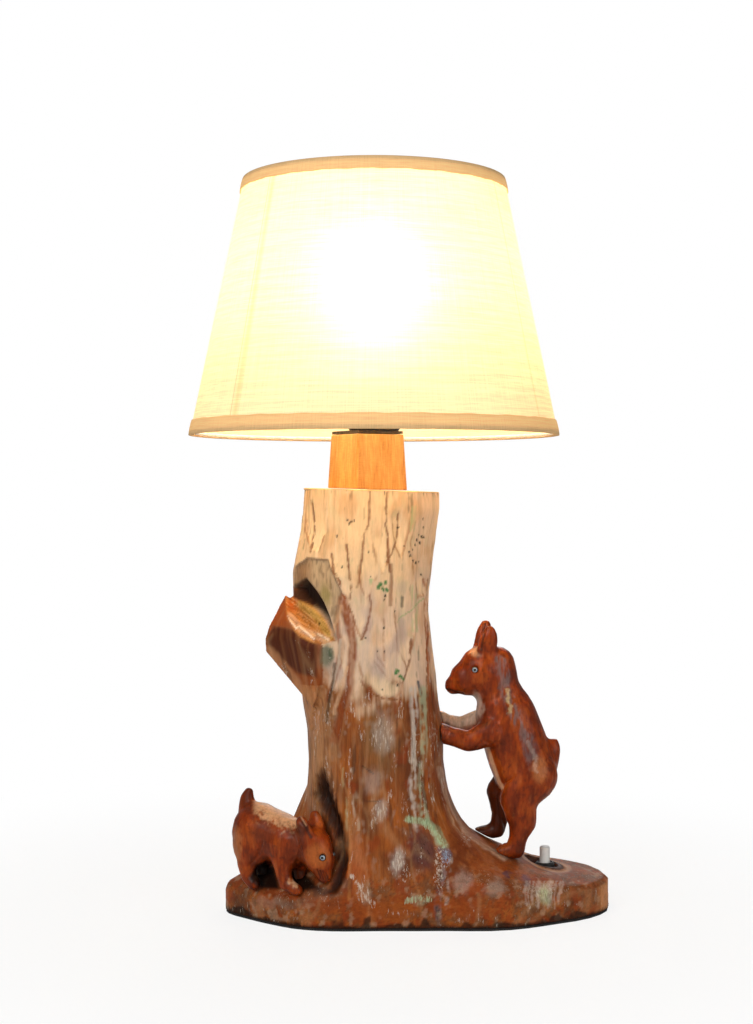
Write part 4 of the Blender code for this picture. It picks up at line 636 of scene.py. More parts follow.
def make_trunk():
    made = fine_copy("trunk_carved", "trunk", 0.0010, 3)
    places, normals = arrays(made.data)
    x, y, z = places.T
    column, row = photo_place(places)
    line, dot, within = (partial(f, column, row) for f in (stroke, spot, inside))
    front = step(0.05, 0.35, -normals[:, 1])
    reach = np.hypot(x, y)
    angle = np.arctan2(y, x)
    outside = (reach > 30) & (z > 1.9)
    along = z - np.clip(reach - 50, 0, None)
    wrapped = np.stack([np.cos(angle) * 47, np.sin(angle) * 47, along], axis=1)
    side = step(0.35, 0.75, 1 - np.abs(normals[:, 2]))
    foot = 1 - step(20, 30, z)
    from_switch = np.hypot(x - SWITCH_X, y - SWITCH_Y)
    near_switch = 1 - step(10, 15, from_switch)
    bent = wrapped + np.stack([rough_noise(wrapped, (30, 30, 45), 3.0) * 7] * 3, axis=1)
    near, border, which = cell_noise(bent, (19, 19, 78), 1.7)
    near2 = cell_noise(bent, (9, 9, 30), 8.1)[0]
    broken = rough_noise(places, (7, 7, 5), 15.0, 2)
    streak = rough_noise(wrapped, (2.2, 2.2, 34), 5.0) * (1 - foot) + broken * foot
    fibre = rough_noise(wrapped, (1.1, 1.1, 14), 9.0) * (1 - foot) + rough_noise(places, (2, 2, 3),
            19.0) * foot
    blotch = rough_noise(places, (17, 17, 26), 2.0, 3)
    patch = rough_noise(places, (9, 9, 13), 4.4, 3)
    grit = rough_noise(places, (3.2, 3.2, 4.2), 6.6, 2)
    upper = step(146, 168, z + blotch * 18 + streak * 8 + step(-20, -46, x) * -34 * front)
    drawn_face = front * upper
    warp_c, warp_r = column + 0.9 * grit + 1.2 * patch, row + 3 * patch
    scoop = (1 - np.clip(near / 0.75, 0, 1) ** 2) * 1.5 * (0.5 + which)
    ridge = 1 - step(0.0, 0.10, border)
    small = (1 - np.clip(near2 / 0.75, 0, 1) ** 2) * 0.45
    offsets = -(scoop * (0.35 + 0.65 * upper) * (1 - 0.6 * drawn_face) + small) * side
    offsets -= (0.35 + 0.35 * streak) * 0.30 * side + np.clip(fibre, 0, 1) * 0.12 * side
    flat_top = (1 - side) * step(0.0, 0.2, normals[:, 2])
    offsets -= flat_top * (0.25 + 0.35 * small + 0.2 * np.clip(patch, 0, 1)) * (z < 275)
    offsets -= flat_top * (0.12 + 0.1 * grit) * (z > 275)
    chips = step(0.25, 0.5, rough_noise(places, (5, 5, 5), 12.0)) * (1 - step(1.5, 7, np.abs(z - 1.8)))
    offsets -= chips * 0.9 * side
    gouged = np.zeros(len(x))
    # masks for the painted highlight at the gouges' lower tips and the painted shade along their rims
    gouge_rim_shade, gouge_tip_highlight = np.zeros(len(x)), np.zeros(len(x))
    for outline in GOUGES:
        depth = inside(warp_c, warp_r, outline)
        high_row, low_row = min(r for c, r in outline), max(r for c, r in outline)
        lower = step(high_row + 0.12 * (low_row - high_row), high_row + 0.5 * (low_row - high_row), row)
        gouged = np.maximum(gouged, (0.5 * step(0, 1.6, depth) + 0.5 * step(0, 7, depth)) * lower)
        gouge_rim_shade = np.maximum(gouge_rim_shade, (1 - step(0.3, 1.7, np.abs(depth))) * lower)
        gouge_tip_highlight = np.maximum(gouge_tip_highlight, step(1, 5, depth) * step(low_row - 34, low_row - 8, row))
    offsets -= gouged * front * 1.5
    face_cracks = np.zeros(len(x))
    for path in FACE_CRACKS:
        face_cracks = np.maximum(face_cracks, stroke(column + 0.8 * grit, row, path, 1.5))
    face_cracks *= front * step(-0.75, -0.1, streak + grit)
    offsets -= face_cracks * 0.55
    crevice = step(-1.5, 3.5, within(CREVICE)) * front * (x > -62)
    facet = step(-1, 2, inside(column + 0.6 * grit, row, GREY_FACET)) * front
    offsets -= crevice * 6.5 + facet * 1.3
    cut = step(-1.2, 1.2, within(CUT_FACE)) * (x < -22)
    offsets -= line([(322, 645), (326, 668), (321, 700), (312, 726)], 6) * front * 1.6
    offsets -= line([(337, 610), (346, 640), (344, 690), (334, 740), (334, 790)], 5) * front * 1.2
    den_depth = inside(column + 1.6 * grit + 3 * streak, row + 3 * patch, DEN)
    den = step(-3, 4, den_depth) * front
    offsets -= step(-1, 9, den_depth) * front * 4.2
    offsets -= den * np.clip(streak, 0, 1) * 1.2
    pocked = np.zeros(len(x))
    for c, r, size in BLACK_FLECKS:
        pocked = np.maximum(pocked, spot(column + 0.9 * grit, row + 0.9 * fibre, (c, r), (0.6 + 0.4 * size,
                0.9 + 0.4 * size)))
    pocked *= front
    offsets -= pocked * 0.6
    offsets *= outside * (1 - near_switch)
    lip = np.exp(-((from_switch - 15.5) / 2.4) ** 2) * step(0.3, 0.7, normals[:, 2])
    offsets -= lip * 0.7 * outside
    carve(made, offsets)

    p = Paint(len(x), (142, 78, 36))
    p.over((168, 92, 38), step(-0.1, 0.5, blotch))
    p.over((100, 52, 26), step(0.05, 0.6, -blotch) * 0.8)
    p.over((150, 60, 20), step(0.15, 0.5, patch) * 0.5)
    p.over((184, 142, 104), step(0.12, 0.5, streak) * 0.26 * side * (1 - foot))
    p.over((76, 42, 26), step(0.2, 0.6, -streak) * 0.4 * side)
    worn = step(0.1, 0.5, rough_noise(wrapped, (8, 8, 26), 14.0, 3)) * step(-0.25, 0.35, grit)
    p.over((176, 154, 132), worn * 0.40 * side * step(20, 60, z))
    p.over((112, 92, 62), spot(column + 4 * patch, row, (380, 738), (24, 46), 0.8) * front * 0.6)
    left = step(-18, -40, x) * step(60, 90, z) * (1 - step(150, 165, z))
    p.over((206, 152, 104), left * (0.6 + 0.3 * streak))
    p.over((132, 88, 56), left * step(0.15, 0.5, fibre) * 0.5)
    flat = 1 - side
    p.over((128, 60, 28), flat * 0.5 * (z < 120))
    p.over((180, 108, 62), flat * step(-0.1, 0.4, patch) * 0.45 * (z < 120))
    # the pale upper zone
    p.over((240, 204, 158), upper)
    p.over((250, 222, 178), upper * step(0.45, 0.8, which) * 0.6 * (1 - drawn_face))
    p.over((216, 176, 146), upper * step(0.55, 0.2, which) * 0.5 * (1 - drawn_face))
    p.over((250, 216, 166), drawn_face * step(-0.1, 0.6, gouged) * 0.35)
    p.over((214, 190, 174), upper * step(236, 198, z + 10 * blotch) * (0.62 + 0.25 * streak))
    p.over((214, 184, 160), drawn_face * step(392, 424, column) * 0.55)
    p.over((206, 150, 98), upper * step(0.05, 0.6, -blotch) * 0.40)
    p.over((158, 98, 60), upper * ridge * step(0.45, 0.75, which) * step(-0.3, 0.3, streak) * 0.6
            * (1 - drawn_face))
    p.over((190, 134, 90), upper * step(0.38, 0.62, streak) * 0.30)
    p.over((252, 232, 200), upper * step(0.38, 0.62, -streak) * 0.25)
    p.over((176, 190, 142), upper * step(0.25, 0.6, patch) * 0.16)
    p.darken(0.45, upper * step(0.54, 0.64, rough_noise(wrapped, (2.6, 2.6, 11), 21.0)) * 0.6)
    # painted highlight at the lower tips of the gouges and painted shade along their rims
    p.over((254, 226, 184), gouge_tip_highlight * front * 0.55)
    p.over((166, 106, 66), gouge_rim_shade * front * step(-0.5, 0.3, streak + patch) * 0.65)
    cool = step(0.0, 0.5, rough_noise(places, (13, 13, 20), 81.0, 2)) * upper * step(250, 205, z)
    p.over((190, 164, 152), cool * 0.6)
    p.over((240, 208, 172), upper * step(0.0, 0.5, rough_noise(places, (11, 11, 22), 91.0, 2)) * step(250,
            205, z) * 0.4)
    p.over((134, 76, 42), face_cracks * 0.8)
    top = step(270, 287, z + blotch * 6) * side
    marks = step(0.22, 0.45, fibre) * step(0.0, 0.4, rough_noise(wrapped, (14, 14, 40), 31.0))
    p.over((74, 46, 28), top * marks * 0.8)
    p.over((240, 196, 136), flat * (z > 275))
    p.darken(0.55, flat * (z > 275) * step(0.1, 0.5, np.sin(reach * 1.9 + blotch * 3)) * 0.35)

    def daub(colour, amount, middle, size, soft=0.6):
        p.over(colour, spot(column + 3 * grit + 3 * patch, row + 6 * patch, middle, size, soft) * front
                * amount)

    def streaks(colour, amount, path, width, broken=1.0):
        gaps = 1 - broken + broken * step(-0.35, 0.25, streak + grit * 0.5)
        p.over(colour, stroke(column + 2 * patch, row, path, width) * front * amount * gaps)

    def lay(marks):
        """Rows with a path are streaks, and rows with a middle are daubs."""
        for colour, amount, where, *size in marks:
            (streaks if isinstance(where, list) else daub)(colour, amount, where, *size)

    # the branch stub and its surroundings
    stub = (x < -34) & (z > 158) & (z < 222) & (column < 320 + (row - 640) * 0.3)
    p.over((140, 70, 30), stub * 0.92)
    # painted shade: the facet under the branch stub is painted dark brown
    p.over((84, 38, 18), step(-2, 3, inside(column + 1.5 * patch, row, [(265, 640), (272, 625), (292, 629),
            (318, 645),
                                                                   (317, 678), (298, 674), (270,
                                                                   654)])) * front)
    p.over((158, 78, 34), step(-2, 2, within([(284, 592), (265, 634), (272, 625), (290, 628), (287, 613)])))
    p.over((178, 120, 74), stub * step(-0.1, 0.4, streak) * 0.2)
    streaks((186, 128, 86), 0.9, [(268, 652), (282, 668), (296, 684), (303, 700), (306, 724)], 8, 0.2)
    p.over((196, 166, 128), facet * 0.85)
    p.over((150, 104, 66), facet * step(314, 300, column) * 0.75)
    # painted shade along the upper edge of the grey facet
    rim = 1 - step(0.3, 1.5, np.abs(inside(column + 0.6 * grit, row, GREY_FACET)))
    p.over((112, 70, 42), rim * front * (row < 600) * 0.7)
    p.over((150, 136, 74), facet * spot(column + 3 * grit, row, (323, 596), (9, 16), 0.8) * 0.7)
    p.over((110, 84, 58), facet * step(0.1, 0.5, rough_noise(places, (2.0, 2.0, 7), 41.0)) * 0.5)
    # painted shade: the gap behind the stub and the crevice are painted near black
    behind = step(-1, 2, within([(292, 584), (304, 577), (316, 592), (328, 616), (313, 609), (292,
            598)])) * front
    p.over((58, 30, 14), behind * 0.85)
    p.over((30, 14, 6), crevice * 0.97)
    p.over((206, 132, 64), cut)
    p.over((196, 96, 34), cut * dot((292, 604), (9, 10), 0.8))
    p.over((206, 156, 76), cut * stroke(column + grit, row, [(300, 604), (318, 618), (330, 636)], 6))
    p.over((214, 166, 128), cut * stroke(column + grit, row, [(290, 616), (302, 630), (326, 640)], 5) * 0.9)
    # painted highlights: pale lines across the cut face
    p.over((252, 232, 208), cut * stroke(column + 0.6 * grit, row, [(287, 616), (296, 628), (300, 626), (314,
            639)], 1.6))
    p.over((250, 222, 186), cut * stroke(column + 0.6 * grit, row, [(318, 634), (328, 640)], 1.5))
    p.over((90, 44, 20), cut * step(0.30, 0.5, rough_noise(places, (2.4, 2.4, 2.4), 43.0)) * 0.4)
    slant = rough_noise(np.stack([column * 0.62 - row * 0.78, (column * 0.78 + row * 0.62) * 0.16, z * 0],
            axis=1), 1.6, 45.0, 2)
    p.over((236, 186, 120), cut * step(0.05, 0.45, slant) * 0.5)
    p.over((120, 58, 24), cut * step(0.05, 0.45, -slant) * 0.45)
    p.over((60, 30, 16), cut * dot((319, 624), (1.4, 1.4)) * 0.9)
    p.over((108, 116, 92), spot(column + 2 * patch, row, (326, 656), (8, 15)) * front * 0.8)
    p.over((60, 84, 60), spot(column + 2 * grit, row, (331, 654), (3, 9)) * front * 0.6)
    # brown streaks that climb the front's left side
    lay(STREAKS)
    p.over((48, 34, 26), line([(362, 766), (366, 769), (373, 774)], 1.2) * front * 0.85)
    p.over((74, 48, 34), line([(364, 801), (381, 802)], 1.0) * front * 0.8)
    lay(WORN_MARKS)
    for c, r in ((381, 585), (386, 583), (384, 589), (379, 588), (388, 590)):
        p.over((30, 118, 56), spot(column + 1.2 * grit, row + 2 * fibre, (c, r), (2.2, 2.6)) * front * 0.9)
    for c, r in ((397, 674), (401, 677), (404, 679), (398, 671)):
        p.over((30, 118, 56), spot(column + 1.2 * grit, row + 2 * fibre, (c, r), (2.0, 2.2)) * front * 0.9)
    # the right edge of the trunk and the root that runs out to the right
    lay(ROOT_MARKS)
    # the front of the foot
    marble = rough_noise(places + 9 * np.stack([patch, grit, blotch], axis=1), (13, 13, 9), 33.0, 3)
    low = 1 - step(24, 46, z)
    p.over((146, 60, 22), low * step(0.05, 0.35, marble) * 0.6)
    p.over((112, 78, 52), low * step(0.05, 0.35, -marble) * 0.6)
    p.over((60, 34, 22), low * (1 - step(0.0, 0.05, np.abs(marble - 0.02))) * 0.55)
    p.over((186, 156, 128), low * step(0.30, 0.55, rough_noise(places, (6, 6, 7), 37.0, 3)) * 0.4)
    lay(FOOT_DABS)
    for k in range(16):
        c = 526 + k * 2.4 + 1.3 * math.sin(k * 5.1)
        depth = 884 + 9 + 17 * abs(math.sin(k * 2.3))
        streaks((206, 186, 170), 0.5, [(c, 882), (c - 1.0, depth)], 1.5, 0.5)
    lay(FOOT_PATCHES)
    # painted shade: the den's hollow is painted dark, darkest at its deepest
    p.over((56, 24, 11), den * 0.92)
    p.over((22, 10, 6), step(2, 8, den_depth) * front * 0.8)
    p.over((120, 70, 40), den * step(0.15, 0.5, streak) * 0.45)
    p.over((196, 124, 66), line([(349, 790), (350, 840), (349, 900)], 2.4) * front * 0.55)
    # painted shade: the gaps seen through the crouching figure are painted near black
    for window in ([(250, 880), (256, 868), (266, 862), (276, 874), (280, 890), (262, 890)],
                   [(285, 876), (292, 869), (306, 874), (320, 890), (300, 892), (288, 884)]):
        p.over((20, 11, 7), step(-2, 3, within(window)) * (z > 18) * 0.95)
    # painted shadow on the base under the crouching figure's snout
    daub((60, 36, 28), 0.7, (322, 892), (12, 6))
    scuffs = step(0.0, 0.55, rough_noise(wrapped, (7, 7, 22), 61.0, 3)) * side * step(12, 40, z)
    p.scratch(scuffs * 0.8 * (1 - 0.7 * upper))
    p.scratch(low * step(-0.1, 0.5, -marble) * 0.62)
    for middle, size, amount in SCUFFS:
        p.scratch(spot(column + 4 * grit, row + 8 * patch, middle, size, 0.8) * front * amount)
    p.scratch(stroke(column + 2 * grit, row, [(352, 876), (362, 892), (374, 907)], 5) * front)
    p.scratch(stroke(column + 2 * grit, row, [(408, 820), (424, 822), (434, 832), (444, 846)], 6) * front,
              (176, 200, 160))
    p.scratch(stroke(column + 2 * grit, row, [(408, 902), (420, 899), (430, 901)], 6) * front, (176, 196,
            156))
    p.scratch(dot((545, 895), (7, 9)) * front, (198, 204, 160))
    p.scratch(dot((447, 858), (6, 12)) * front, (150, 170, 196))
    p.grime = np.maximum(p.grime, dot((424, 848), (14, 20)) * front * 0.7)
    p.grime = np.maximum(p.grime, dot((440, 900), (6, 30)) * front * 0.6)
    # darker flecks towards the bottom edge of the base
    p.grime = np.maximum(p.grime, (1 - step(2.0, 7.0, z)) * step(30, 50, reach) * 0.9)
    p.grime = np.maximum(p.grime, upper * step(0.25, 0.7, rough_noise(wrapped, (10, 10, 12), 71.0)) * 0.32)
    p.grime = np.maximum(p.grime, front * dot((565, 905), (36, 16), 0.8) * 0.5)
    p.scuff *= 1 - 0.85 * np.maximum(den, crevice)
    # wear, edges and dirt; a darker bottom edge; painted highlight and shade at the switch's recess
    p.over((206, 158, 112), ridge * (1 - upper) * 0.22 * side)
    # darker towards the bottom edge of the base, up to a wavy height
    bottom_band_top = 3.4 + 9 * np.clip(rough_noise(places, (9, 9, 9), 47.0, 2), 0, 1)
    p.over((24, 15, 11), (1 - step(bottom_band_top - 1.6, bottom_band_top + 1.4, z)) * step(30, 50, reach) * 0.8)
    # painted highlight on the upward-facing lip of the switch's recess, and painted shade inside the recess
    p.over((206, 150, 108), lip * 0.75 * outside)
    p.darken(0.22, (from_switch < 13.5) * (z > 20) * 0.9)
    p.over((206, 138, 84), step(0.60, 0.85, normals[:, 0]) * step(146, 156, x) * (0.75 + 0.3 * patch))
    p.over((34, 24, 18), pocked * 0.95)
    cracks = step(0.42, 0.49, rough_noise(wrapped, (4.5, 4.5, 44), 51.0)) * side * (1 - foot)
    p.over((62, 36, 24), cracks * 0.5 * (1 - 0.7 * drawn_face))
    p.rough[:] = 0.34 + 0.18 * upper + 0.12 * worn
    p.flatten = foot
    p.calm = np.clip(upper * 0.9 + stub * 0.9 + 0.25, 0, 1) * (1 - facet * 0.6)
    p.store(made.data)
    made.data.materials.append(MATERIALS["log"])
    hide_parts("trunk")
    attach(made, "log")
    return made


def make_figure(name, node, grain, seed):
    """A fine copy of a figure, with the offsets for its knife facets and the noises that its paint reads."""
    made = fine_copy(name, node, grain, 4)
    places, normals = arrays(made.data)
    near = cell_noise(places, (8.5, 8.5, 11), seed)[0]
    streak = rough_noise(places, (1.6, 1.6, 9), seed + 2)
    blotch = rough_noise(places, (10, 10, 14), seed + 4, 3)
    grit = rough_noise(places, (2.2, 2.2, 3), seed + 6, 2)
    offsets = -(1 - np.clip(near / 0.8, 0, 1) ** 2) * 0.32 - np.clip(streak, 0, 1) * 0.05
    return made, places, normals, offsets, streak, blotch, grit


def figure_paint(places, normals, streak, blotch, grit):
    p = Paint(len(places), (142, 54, 10))
    p.over((168, 74, 18), step(0.0, 0.5, blotch) * 0.8)
    p.over((104, 38, 14), step(0.0, 0.5, -blotch) * 0.7)
    p.over((84, 32, 14), step(0.15, 0.5, streak) * 0.45)
    p.over((190, 104, 52), step(0.25, 0.6, -streak) * 0.22)
    # painted shade: the downward-facing undersides are darkened
    p.darken(0.45, step(0.2, 0.9, -normals[:, 2]) * 0.5)
    p.over((50, 22, 12), step(0.42, 0.55, grit) * 0.4)
    p.rough[:] = 0.22
    return p


def make_climber():
    made, places, normals, offsets, streak, blotch, grit = make_figure("climber_carved", "climbing_figure",
            0.0008, 3.0)
    column, row = photo_place(places)
    line, dot, within = (partial(f, column, row) for f in (stroke, spot, inside))
    near_side = step(0.0, 0.4, -normals[:, 1])
    y = places[:, 1]
    offsets -= line([(447, 690), (457, 693), (463, 694)], 1.6) * 0.9
    offsets -= line([(514, 776), (503, 784), (498.5, 797), (500, 815), (507, 829)], 2.2) * near_side * 0.9
    offsets -= line([(481, 648), (484, 632), (486, 624)], 2.0) * near_side * (row < 650) * 0.8
    offsets -= line([(476, 748), (484, 741), (492, 745)], 2.0) * near_side * 0.7
    offsets -= line([(500, 716), (494, 730), (496, 742)], 2.4) * near_side * 0.6
    for k in range(3):
        offsets -= line([(497 + 4 * k, 848 - k), (499 + 4 * k, 843 - k)], 1.0) * 0.5
        offsets -= line([(441 + 3 * k, 737), (443 + 3 * k, 731)], 1.0) * 0.4
    carve(made, offsets)
    p = figure_paint(places, normals, streak, blotch, grit)
    warp = column + 2.5 * grit + 2 * blotch
    dab = partial(spot, warp, row)
    # pale worn patch on the brow, with a painted highlight where it faces up
    p.over((232, 178, 134), dab((477, 652), (8, 6)) * step(0.2, 0.7, normals[:, 2]) * 0.8)
    flank = stroke(warp, row, [(501, 660), (505, 690), (516, 716), (527, 740), (534, 766)], 8) * near_side
    p.over((132, 108, 104), flank * 0.75 * step(-0.4, 0.2, streak))
    p.over((196, 176, 130), stroke(warp, row, [(508, 690), (511, 712)], 2.6) * near_side * 0.7)
    p.over((190, 166, 150), stroke(warp, row, [(529, 742), (535, 758), (536, 772)], 3) * near_side * 0.7)
    p.over((84, 52, 56), dab((531, 750), (9, 12)) * near_side * 0.55)
    p.over((190, 124, 74), dab((540, 770), (10, 16)) * near_side * 0.5)
    pale_front = step(0.35, 0.8, -normals[:, 0]) * step(-0.2, 0.25, -normals[:, 1] * -1)
    p.over((222, 176, 142), pale_front * (column > 448) * (row > 696) * (row < 790) * 0.85)
    middle = np.median(y)
    far_half = step(middle + 1, middle + 6, y)
    p.over((226, 192, 164), far_half * (row > 690) * (row < 735) * (column < 490) * step(-0.5, 0.1, normals[:,
            2]) * 0.85)
    p.over((196, 172, 156), dab((474, 706), (10, 16)) * step(-0.2, 0.4, -normals[:, 0]) * 0.8)
    # painted shade: the far leg is painted dark brown
    p.over((66, 28, 13), far_half * step(742, 756, row) * (column < 508) * 0.85)
    # painted highlight along the near leg's left edge
    p.over((232, 182, 142), line([(486, 744), (492, 762), (501, 788)], 2.6) * step(-0.2, 0.4, -normals[:, 0])
            * 0.8)
    p.over((214, 150, 106), line([(480, 790), (476, 806), (478, 828)], 1.5) * near_side * 0.5)
    # painted shade in the carved jaw line
    p.darken(0.4, line([(447, 690), (457, 693), (463, 694)], 2.0) * 0.9)
    p.over((60, 46, 58), dot((447, 726), (4, 5)) * 0.6)
    p.darken(0.6, step(838, 852, row) * 0.5)
    # painted shade in the carved ear line
    p.over((80, 40, 24), line([(481, 650), (484, 632), (486, 624)], 2.0) * near_side * (row < 652) * 0.7)
    p.store(made.data)
    made.data.materials.append(MATERIALS["figure"])
    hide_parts("climbing_figure")
    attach(made, "log")


def make_croucher():
    made, places, normals, offsets, streak, blotch, grit = make_figure("croucher_carved", "crouching_figure",
            0.0007, 7.0)
    column, row = photo_place(places)
    line, dot, within = (partial(f, column, row) for f in (stroke, spot, inside))
    near_side = step(0.0, 0.4, -normals[:, 1])
    lines = np.zeros(len(column))
    for k in range(4):
        lines = np.maximum(lines, line([(317 + 3 * k, 870 + k), (320.5 + 3 * k, 879 + k)], 0.9))
    offsets -= lines * near_side * 0.5
    offsets -= line([(290, 824), (296, 838), (300, 852), (296, 866)], 2.5) * near_side * 0.8
    offsets -= line([(262, 842), (258, 856), (250, 866)], 2.2) * near_side * 0.7
    offsets -= line([(300, 822), (309, 832), (312, 838)], 2.2) * near_side * 0.8
    carve(made, offsets)
    p = figure_paint(places, normals, streak, blotch, grit)
    warp = column + 2 * grit
    dab = partial(spot, warp, row)
    # painted highlight on the upward-facing top of the back
    p.over((226, 178, 134), step(0.45, 0.85, normals[:, 2] + 0.3 * grit) * step(250, 258, column)
            * (column < 298) * 0.8)
    middle = np.median(places[:, 1])
    for window in ([(248, 880), (256, 866), (266, 862), (277, 874), (282, 892), (262, 892)],
                   [(284, 876), (292, 867), (306, 872), (322, 890), (300, 894), (288, 884)]):
        # painted shade: the far side seen through the gaps is painted near black
        hidden = step(-2, 2, within(window)) * step(middle - 6, middle, places[:, 1])
        p.over((20, 10, 6), hidden * 0.95)
    p.over((188, 104, 48), dab((318, 856), (14, 14)) * near_side * 0.7)
    p.over((190, 116, 64), dab((236, 846), (6, 22)) * 0.6)
    p.over((110, 52, 32), dab((262, 832), (14, 12)) * near_side * 0.6)
    p.over((90, 44, 30), dab((296, 838), (10, 12)) * near_side * 0.5)
    p.over((84, 34, 18), dab((246, 800), (8, 14)) * 0.7)
    # painted shade in the carved groove cut above, with a painted highlight along its upper edge
    p.over((66, 28, 16), dab((302, 829), (7, 9)) * near_side * 0.7)
    p.over((50, 22, 13), line([(303, 822), (308, 832), (311, 838)], 2.2) * near_side * 0.8)
    p.over((206, 150, 108), line([(300, 816), (306, 826)], 1.2) * near_side * 0.7)
    p.over((186, 92, 36), dab((320, 822), (6, 8)) * near_side * 0.7)
    p.over((70, 30, 16), line([(327, 818), (334, 834), (336, 850)], 2.4) * 0.7)
    # painted shade in the carved lines by the snout
    p.darken(0.35, lines * near_side)
    # painted shade: the downward-facing undersides are darkened
    p.darken(0.5, step(0.2, 0.7, -normals[:, 2]) * 0.6)
    p.store(made.data)
    made.data.materials.append(MATERIALS["figure"])
    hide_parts("crouching_figure")
    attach(made, "log")


# ---------- shade ----------

def shade_line():
    """Radius at the cover's bottom and top, and those two heights, in metres."""
    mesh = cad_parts["shade_cover"].data
    low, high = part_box("shade_cover")
    places, _ = arrays(mesh)
    places = places * MM
    reach = np.hypot(places[:, 0], places[:, 1])
    return reach[places[:, 2] < low[2] + 1e-4].max(), reach[places[:,
            2] > high[2] - 1e-4].max(), low[2], high[2]


def ring_mesh(name, rows, columns, closed_profile=False):
    """Faces between rings: rows is a list of functions of the angle that give radius and height."""
    bm = bmesh.new()
    grid = []
    for row in rows:
        ring = []
        for i in range(columns):
            a = math.tau * i / columns
            r, h = row(a)
            ring.append(bm.verts.new((r * math.cos(a), r * math.sin(a), h)))
        grid.append(ring)
    pairs = list(zip(grid, grid[1:]))
    if closed_profile:
        pairs.append((grid[-1], grid[0]))
    for lower, upper in pairs:
        for i in range(columns):
            k = (i + 1) % columns
            bm.faces.new((lower[i], lower[k], upper[k], upper[i]))
    bmesh.ops.recalc_face_normals(bm, faces=bm.faces)
    mesh = bpy.data.meshes.new(name)
    bm.to_mesh(mesh)
    bm.free()
    mesh.shade_smooth()
    return shown(name, mesh)


def make_shade():
    bottom_radius, top_radius, bottom, top = shade_line()

    def radius(height):
        return bottom_radius + (top_radius - bottom_radius) * (height - bottom) / (top - bottom)

    def cloth_row(height):
        def place(a):
            lap = math.exp(-((((math.degrees(a) - 224.4 + 180) % 360) - 180) / 1.6) ** 2) * 0.00025
            ripple = 0.00010 * math.sin(a * 7 + height * 40) * math.sin((height - bottom) / (top - bottom)
            * math.pi)
            return radius(height) - 0.0002 + lap + ripple, height
        return place

    rows = [cloth_row(bottom + (top - bottom) * k / 40) for k in range(41)]
    cover = ring_mesh("shade_cloth", rows, 240)
    cover.data.materials.append(shade_material())
    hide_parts("shade_cover")
    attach(cover, "shade")
    trim = trim_material()
    for name, node, sign in (("trim_bottom", "shade_bottom_trim", 1), ("trim_top", "shade_top_trim", -1)):
        low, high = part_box(node)
        edge = low[2] if sign > 0 else high[2]
        far = high[2] if sign > 0 else low[2]
        span = abs(far - edge)
        wall = 0.0005
        profile = []
        for k in range(9):
            t = k / 8
            profile.append((0.00025 + wall * (0.9 + 0.5 * math.sin(math.pi * t)), far + (edge - far) * t
            * 0.94))
        profile += [(0.0003 + wall * 0.6, edge + sign * 0.00012), (-0.0006, edge), (-0.0028, edge + sign
                * 0.0002),
                    (-0.0034, edge + sign * 0.0006), (-0.0028, edge + sign * 0.0010), (-0.0008, edge + sign
                    * 0.0009),
                    (0.00025, edge + sign * 0.0012)]
        profile.append((0.00025, far + (edge - far) * 0.5))
        profile.append((0.00025, far))

        def trim_row(offset, height, far=far, span=span):
            def place(a):
                wave = 0.00018 * math.sin(a * 23 + 1.3) + 0.00012 * math.sin(a * 51)
                lift = wave * max(0.0, 1 - abs(height - far) / (span * 0.4))
                return radius(height) + offset, height + lift
            return place

        band = ring_mesh(name, [trim_row(*point) for point in profile], 240, closed_profile=True)
        # painted glow on the trims: little at the folded edge, rising to most away from it
        glow = band.data.attributes.new("glow", "FLOAT", "POINT")
        values = []
        for v in band.data.vertices:
            from_edge = abs(v.co.z - edge) / span
            values.append(0.05 + 0.37 * min(1.0, max(0.0, (from_edge - 0.12) / 0.30)))
        glow.data.foreach_set("value", values)
        band.data.materials.append(trim)
        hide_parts(node)
        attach(band, "shade")


# ---------- small parts ----------

CAD_LOOKS = {
    "felt": "base_pad",
    "dark": "neck_plate",
    "steel": "threaded_tube tube_washer tube_nut_lower tube_nut_upper switch_spring",
    "black": "holder_cap holder_sleeve shade_ring switch_body inlet_bush bulb_insulator switch_nut",
    "porcelain": "holder_insert",
    "brass": "screw_shell centre_contact holder_terminal_left holder_terminal_right "
             "switch_terminal_front switch_terminal_back block_screw clamp_screw_left clamp_screw_right",
    "white": "switch_plunger terminal_block",
    "blue": "lead_neutral",
    "brown": "lead_live lead_switched",
    "bulb_metal": "bulb_cap bulb_tip",
    "filament": "bulb_filament",
    "stem": "bulb_stem",
    "wire": "shade_carrier shade_top_wire",
}


def finish_cad_nodes():
    for look, nodes in CAD_LOOKS.items():
        for node in nodes.split():
            assign(node, MATERIALS[look])
    assign("neck_block", neck_material())
    assign("bulb_glass", bulb_material())
    looks = {"climbing_eye_near": (0, -1, 0), "climbing_eye_far": (0, 1, 0), "crouching_eye_near": (-0.07, -1,
            0),
             "crouching_eye_far": (0.90, 0.44, 0)}
    for node, direction in looks.items():
        assign(node, eye_material(node + "_glass", direction))
    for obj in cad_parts.values():
        if obj.type == "MESH":
            obj.data.shade_smooth()
            obj.data.set_sharp_from_angle(angle=math.radians(38))


# ---------- stage, light and camera ----------

def white_to_camera(name, colour, share):
    """A pale surface that shows as white in the view and through glass, and keeps part of its shadow."""
    n = Nodes(name)
    n.set(Base_Color=colour, Roughness=0.9, Specular_IOR_Level=0.0)
    path = n.new("ShaderNodeLightPath").outputs
    seen = n.math("MAXIMUM", path["Is Camera Ray"], path["Is Transmission Ray"])
    away = n.new("ShaderNodeVectorMath", {0: n.coords}, operation="LENGTH").outputs["Value"]
    shown_white = n.times(seen, n.smooth_range(away, 0.12, 0.55, share, 1.0))
    white = n.new("ShaderNodeEmission", {"Strength": 1.0})
    n.link(n.blend(shown_white, n.shader.outputs[0], white.outputs[0]), n.output.inputs["Surface"])
    return n.material


